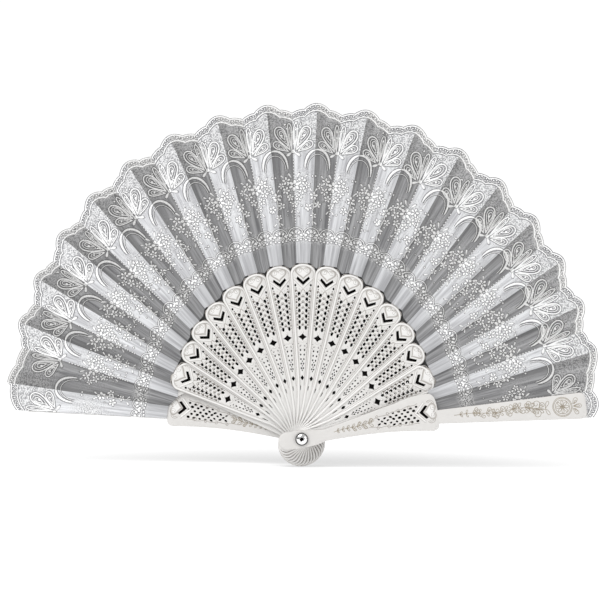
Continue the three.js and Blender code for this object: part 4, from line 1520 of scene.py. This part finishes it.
def sprig(pen, base, scale, jitter):
    """The cluster of flowers below each fan of loops, with a chain of beads above and below it."""
    pen.flower(0, base, 4.4 * scale, 6, jitter)
    for side in (-1, 1):
        for number, bloom in enumerate(CLUSTER):
            x, z = bloom["at"]
            turn = side * jitter + 25 * number
            pen.flower(side * x * scale, base + z * scale, bloom["size"] * scale, 5, turn)
        pen.leaf((side * 1.4, base + 4.8), side * 33, 5.6 * scale, 1.1 * scale, 10)
        pen.leaf((side * 7.6 * scale, base + 5.4), side * 50, 3.8 * scale, 0.8 * scale, 10)
        pen.leaf((side * 0.8, base - 16.4), side * 148, 4.2 * scale, 0.8 * scale, 10)
    pen.flower(0, base - 14.6 * scale, 2.6 * scale, 5, jitter)
    for n in range(6):
        pen.oval(0, base + (7.4 + 2.4 * n) * scale, 0.5, 0.75, 0, 6)
        pen.oval(0, base - (18.4 + 2.0 * n) * scale, 0.55, 0.7, 0, 6)


def side_spray(pen, base, scale, jitter):
    """The small flowers on the line between two sprays."""
    pen.flower(0.4, base, 3.2 * scale, 5, jitter)
    pen.flower(-3.2 * scale, base - 8.6 * scale, 2.8 * scale, 5, jitter + 30)
    pen.flower(3.6 * scale, base - 6.4 * scale, 2.6 * scale, 5, jitter)
    pen.flower(0.8 * scale, base - 14.6 * scale, 2.4 * scale, 5, jitter + 50)
    pen.line(bezier((0.4, base - 2), (2.0, base - 6), (-1.5, base - 10), (0.8, base - 21), 14), 0.34)
    for side in (-1, 1):
        pen.leaf((side * 0.8, base + 2.6), side * 34, 3.8 * scale, 0.8, 10)
        pen.leaf((side * 0.6, base - 18.0), side * 130, 3.8 * scale, 0.8, 10)
        pen.oval(side * 1.1, base + 14.0, 0.7, 0.8, 0, 6)


def band(pen, base, pitch, jitter):
    """The band above the gorge, one repeat wide: two scallops of petals over beads, and small flowers."""
    half = pitch / 2
    turns = np.linspace(0, np.pi, 18)
    for middle in (-half / 2, half / 2):
        x, z = middle + 0.47 * half * np.cos(turns), base + 0.6 + 4.6 * np.sin(turns)
        pen.line(np.stack([x, z], axis=1), 0.26)
        for lean in np.linspace(-72, 72, 5):
            turn = math.radians(lean)
            pen.oval(middle + 4.0 * math.sin(turn), base - 1.0 + 3.3 * math.cos(turn), 0.85, 1.35, lean, 8)
        for bead in range(4):
            x = middle + (bead - 1.5) * 0.23 * half
            pen.oval(x, base - 3.4 - 0.5 * (bead in (1, 2)), 0.9, 0.75, 0, 7)
        pen.oval(middle, base - 0.8, 1.3, 0.8, 0, 8)
    for at in (0, half):
        for lean in np.arange(0, 360, 90) + jitter:
            turn = math.radians(lean)
            pen.oval(at + 1.2 * math.sin(turn), base - 0.6 + 1.2 * math.cos(turn), 0.6, 0.8, lean, 6)


BORDER_STEPS = 1500
HATCH_STEPS = 420
BEADS = 400


def along_edge(inside, steps):
    return np.linspace(EDGES[0] + inside, EDGES[-1] - inside, steps)


def border(lace):
    """The beaded, hatched border along the leaf's scalloped edge."""
    theta = along_edge(1e-4, BORDER_STEPS)
    outer = edge_radius(theta)
    lace.thread(theta, outer - 0.7, 0.45, tone=BORDER_TONE)
    lace.thread(theta, outer - 5.0, 0.36, tone=BORDER_TONE)
    hatch = along_edge(1e-3, HATCH_STEPS)
    high = np.arange(HATCH_STEPS) % 2 == 0
    lace.thread(hatch, edge_radius(hatch) - np.where(high, 3.2, 4.6), 0.2, tone=BORDER_TONE)
    for n, angle in enumerate(along_edge(6e-3, BEADS)):
        radius = float(edge_radius(angle)) - 1.9 - 0.5 * (n % 2)
        Pen(lace, angle).fill(oval(0, radius, 0.58, 0.58, 0, 6), BORDER_TONE)


def speckles(pen, base, reach, count, random):
    """Small knots scattered round a motif."""
    for _ in range(count):
        x, z = random.uniform(-1, 1, 2) * reach
        size = random.uniform(0.35, 0.75)
        pen.oval(x, base + z, size, size * random.uniform(0.9, 1.5), random.uniform(0, 180), 5)


LACE_SPAN = 112
MOTIF_SCALE = 0.96
LOOPS_BELOW_EDGE = 28.0
BELOW_LOOPS = {"arch": 12.5, "sprig": 25.5, "side spray": 33, "knots": 36, "side knots": 38}


def make_lace():
    """Lays out the motifs round the fan, closer together where the leaf is shorter."""
    lace = Lace()
    random = np.random.default_rng(7)
    for index in range(2 * END + 1):
        fold_line, peak_line = EDGES[2 * index : 2 * index + 2]
        on_fold, on_peak = Pen(lace, fold_line), Pen(lace, peak_line)
        jitter = float(random.uniform(-12, 12))
        scale = float(random.uniform(0.94, 1.0))
        edge = float(edge_radius(fold_line))
        stretch = (edge - float(GORGE[index])) / LACE_SPAN
        sides = [side for side in (-1, 1) if EDGES[0] < fold_line + side * 0.02 < EDGES[-1]]
        top = edge - LOOPS_BELOW_EDGE * stretch
        at = {motif: top - drop * stretch for motif, drop in BELOW_LOOPS.items()}
        loops(on_fold, top, MOTIF_SCALE * scale, sides)
        speckles(on_fold, top + 12, (9, 10), 26, random)
        base = float(GORGE[index]) + BAND_MIDDLE
        if index < 2 * END:
            arch(Pen(lace, peak_line + 0.010), at["arch"], 9.0 * scale, 13.5)
            side_spray(on_peak, at["side spray"], scale, jitter)
            speckles(on_peak, at["side knots"], (4, 9), 14, random)
            glued_line = Pen(lace, (fold_line + peak_line) / 2)
            band(glued_line, base, math.radians(GLUED_SPACING_DEG) * base, jitter)
        if index > 0:
            sprig(on_fold, at["sprig"], MOTIF_SCALE * scale, jitter)
            speckles(on_fold, at["knots"], (6, 14), 16, random)
    border(lace)
    return lace.make()


def make_leaf():
    lace = make_lace()
    for strip in range(STRIPS):
        cloth, (width, length, area) = make_cloth(strip)
    for index in range(1, 2 * END - 1):
        make_hem(index)


# Camera, light and floor
CAMERA_DISTANCE = 1.6
VIEW_HALF_WIDTH = 0.2127
VIEW_CENTRE = (-0.0021, 0.0976)
PHOTO_TURN_DEG = -0.5
SENSOR_WIDTH = 36.0


def make_camera():
    """A level camera in front of the fan, turned by half a degree as the photograph is."""
    camera = bpy.data.cameras.new("camera")
    camera.sensor_width = SENSOR_WIDTH
    camera.lens = SENSOR_WIDTH / 2 * CAMERA_DISTANCE / VIEW_HALF_WIDTH
    camera.clip_end = 50
    holder = bpy.data.objects.new("camera", camera)
    holder.location = (VIEW_CENTRE[0], -CAMERA_DISTANCE, VIEW_CENTRE[1])
    holder.rotation_euler = (math.pi / 2, math.radians(PHOTO_TURN_DEG), 0)
    bpy.context.scene.collection.objects.link(holder)
    bpy.context.scene.camera = holder


def add_sun(name, direction_from, strength, soft_deg):
    light = bpy.data.lights.new(name, "SUN")
    light.energy = strength
    light.angle = math.radians(soft_deg)
    holder = bpy.data.objects.new(name, light)
    x, y, z = direction_from
    holder.rotation_euler = (math.atan2(math.hypot(x, y), z), 0, math.atan2(x, -y))
    bpy.context.scene.collection.objects.link(holder)


def make_world():
    """White all round for the camera, and a soft tent for light, with a dark horizon in reflections."""
    world = bpy.data.worlds.new("studio")
    bpy.context.scene.world = world
    sky = Nodes(world)
    direction = sky.add("ShaderNodeTexCoord").outputs["Generated"]
    height = sky.add("ShaderNodeSeparateXYZ", {"Vector": direction}).outputs["Z"]
    ray = sky.add("ShaderNodeLightPath")
    level = sky.add("ShaderNodeMath", {0: height}, operation="ABSOLUTE").outputs[0]
    horizon = sky.ranged(level, (0.12, 0.2), (0.97, 0.0))
    dark_line = sky.calc("MULTIPLY", horizon, ray.outputs["Is Glossy Ray"])
    overhead = sky.ranged(height, (-0.3, 1.0), (0.55, 1.0))
    tent = sky.tree.nodes["Background"]
    lit = sky.calc("MULTIPLY", overhead, sky.calc("SUBTRACT", 1.0, dark_line))
    sky.put(lit, tent.inputs["Color"])
    sky.put(0.58, tent.inputs["Strength"])
    seen = sky.add("ShaderNodeBackground", {"Color": (1, 1, 1), "Strength": 1.05})
    both = {0: ray.outputs["Is Camera Ray"], 1: tent.outputs[0], 2: seen.outputs[0]}
    mix = sky.add("ShaderNodeMixShader", both)
    sky.put(mix.outputs[0], sky.tree.nodes["World Output"].inputs["Surface"])


FLOOR_HALF = 8.0
FLOOR_LEVEL = -0.0205


def make_floor():
    """A sheet of paper under the fan, which glows but for a painted soft shadow close to what stands on it.
    """
    mesh = bpy.data.meshes.new("floor")
    corners = [(-1, -1), (1, -1), (1, 1), (-1, 1)]
    mesh.from_pydata([(x * FLOOR_HALF, y * FLOOR_HALF, FLOOR_LEVEL) for x, y in corners], [], [(0, 1, 2, 3)])
    paper = Material("floor")
    grain = paper.add("ShaderNodeTexNoise", {"Scale": 30.0}).outputs["Fac"]
    towards_front = paper.add("ShaderNodeCombineXYZ", {"X": 0.0, "Y": -0.7, "Z": 0.7}).outputs[0]
    # Ambient occlusion turned towards the front dims the glow: a painted shadow behind the fan, as if lit
    # from in front.
    near = paper.add("ShaderNodeAmbientOcclusion", {"Distance": 0.3, "Normal": towards_front}, samples=24)
    inputs = {
        "Base Color": paper.mix(grain, grey(0.10), grey(0.12)),
        "Roughness": 0.9,
        "Emission Color": (1, 1, 1),
        "Emission Strength": paper.ranged(near.outputs["AO"], (0.5, 0.85), (0.62, 0.98)),
    }
    mesh.materials.append(paper.finish(inputs))
    floor = bpy.data.objects.new("floor", mesh)
    bpy.context.scene.collection.objects.link(floor)


make_camera()
make_world()
add_sun("key", (-0.5, -0.62, 0.95), 2.0, 40)
add_sun("side", (0.9, -0.6, 0.25), 0.45, 45)
make_floor()
for k in STICKS:
    make_stick(k)
make_guard(-END)
make_guard(END)
make_rivet()
make_leaf()
bpy.context.scene.view_settings.view_transform = "Standard"
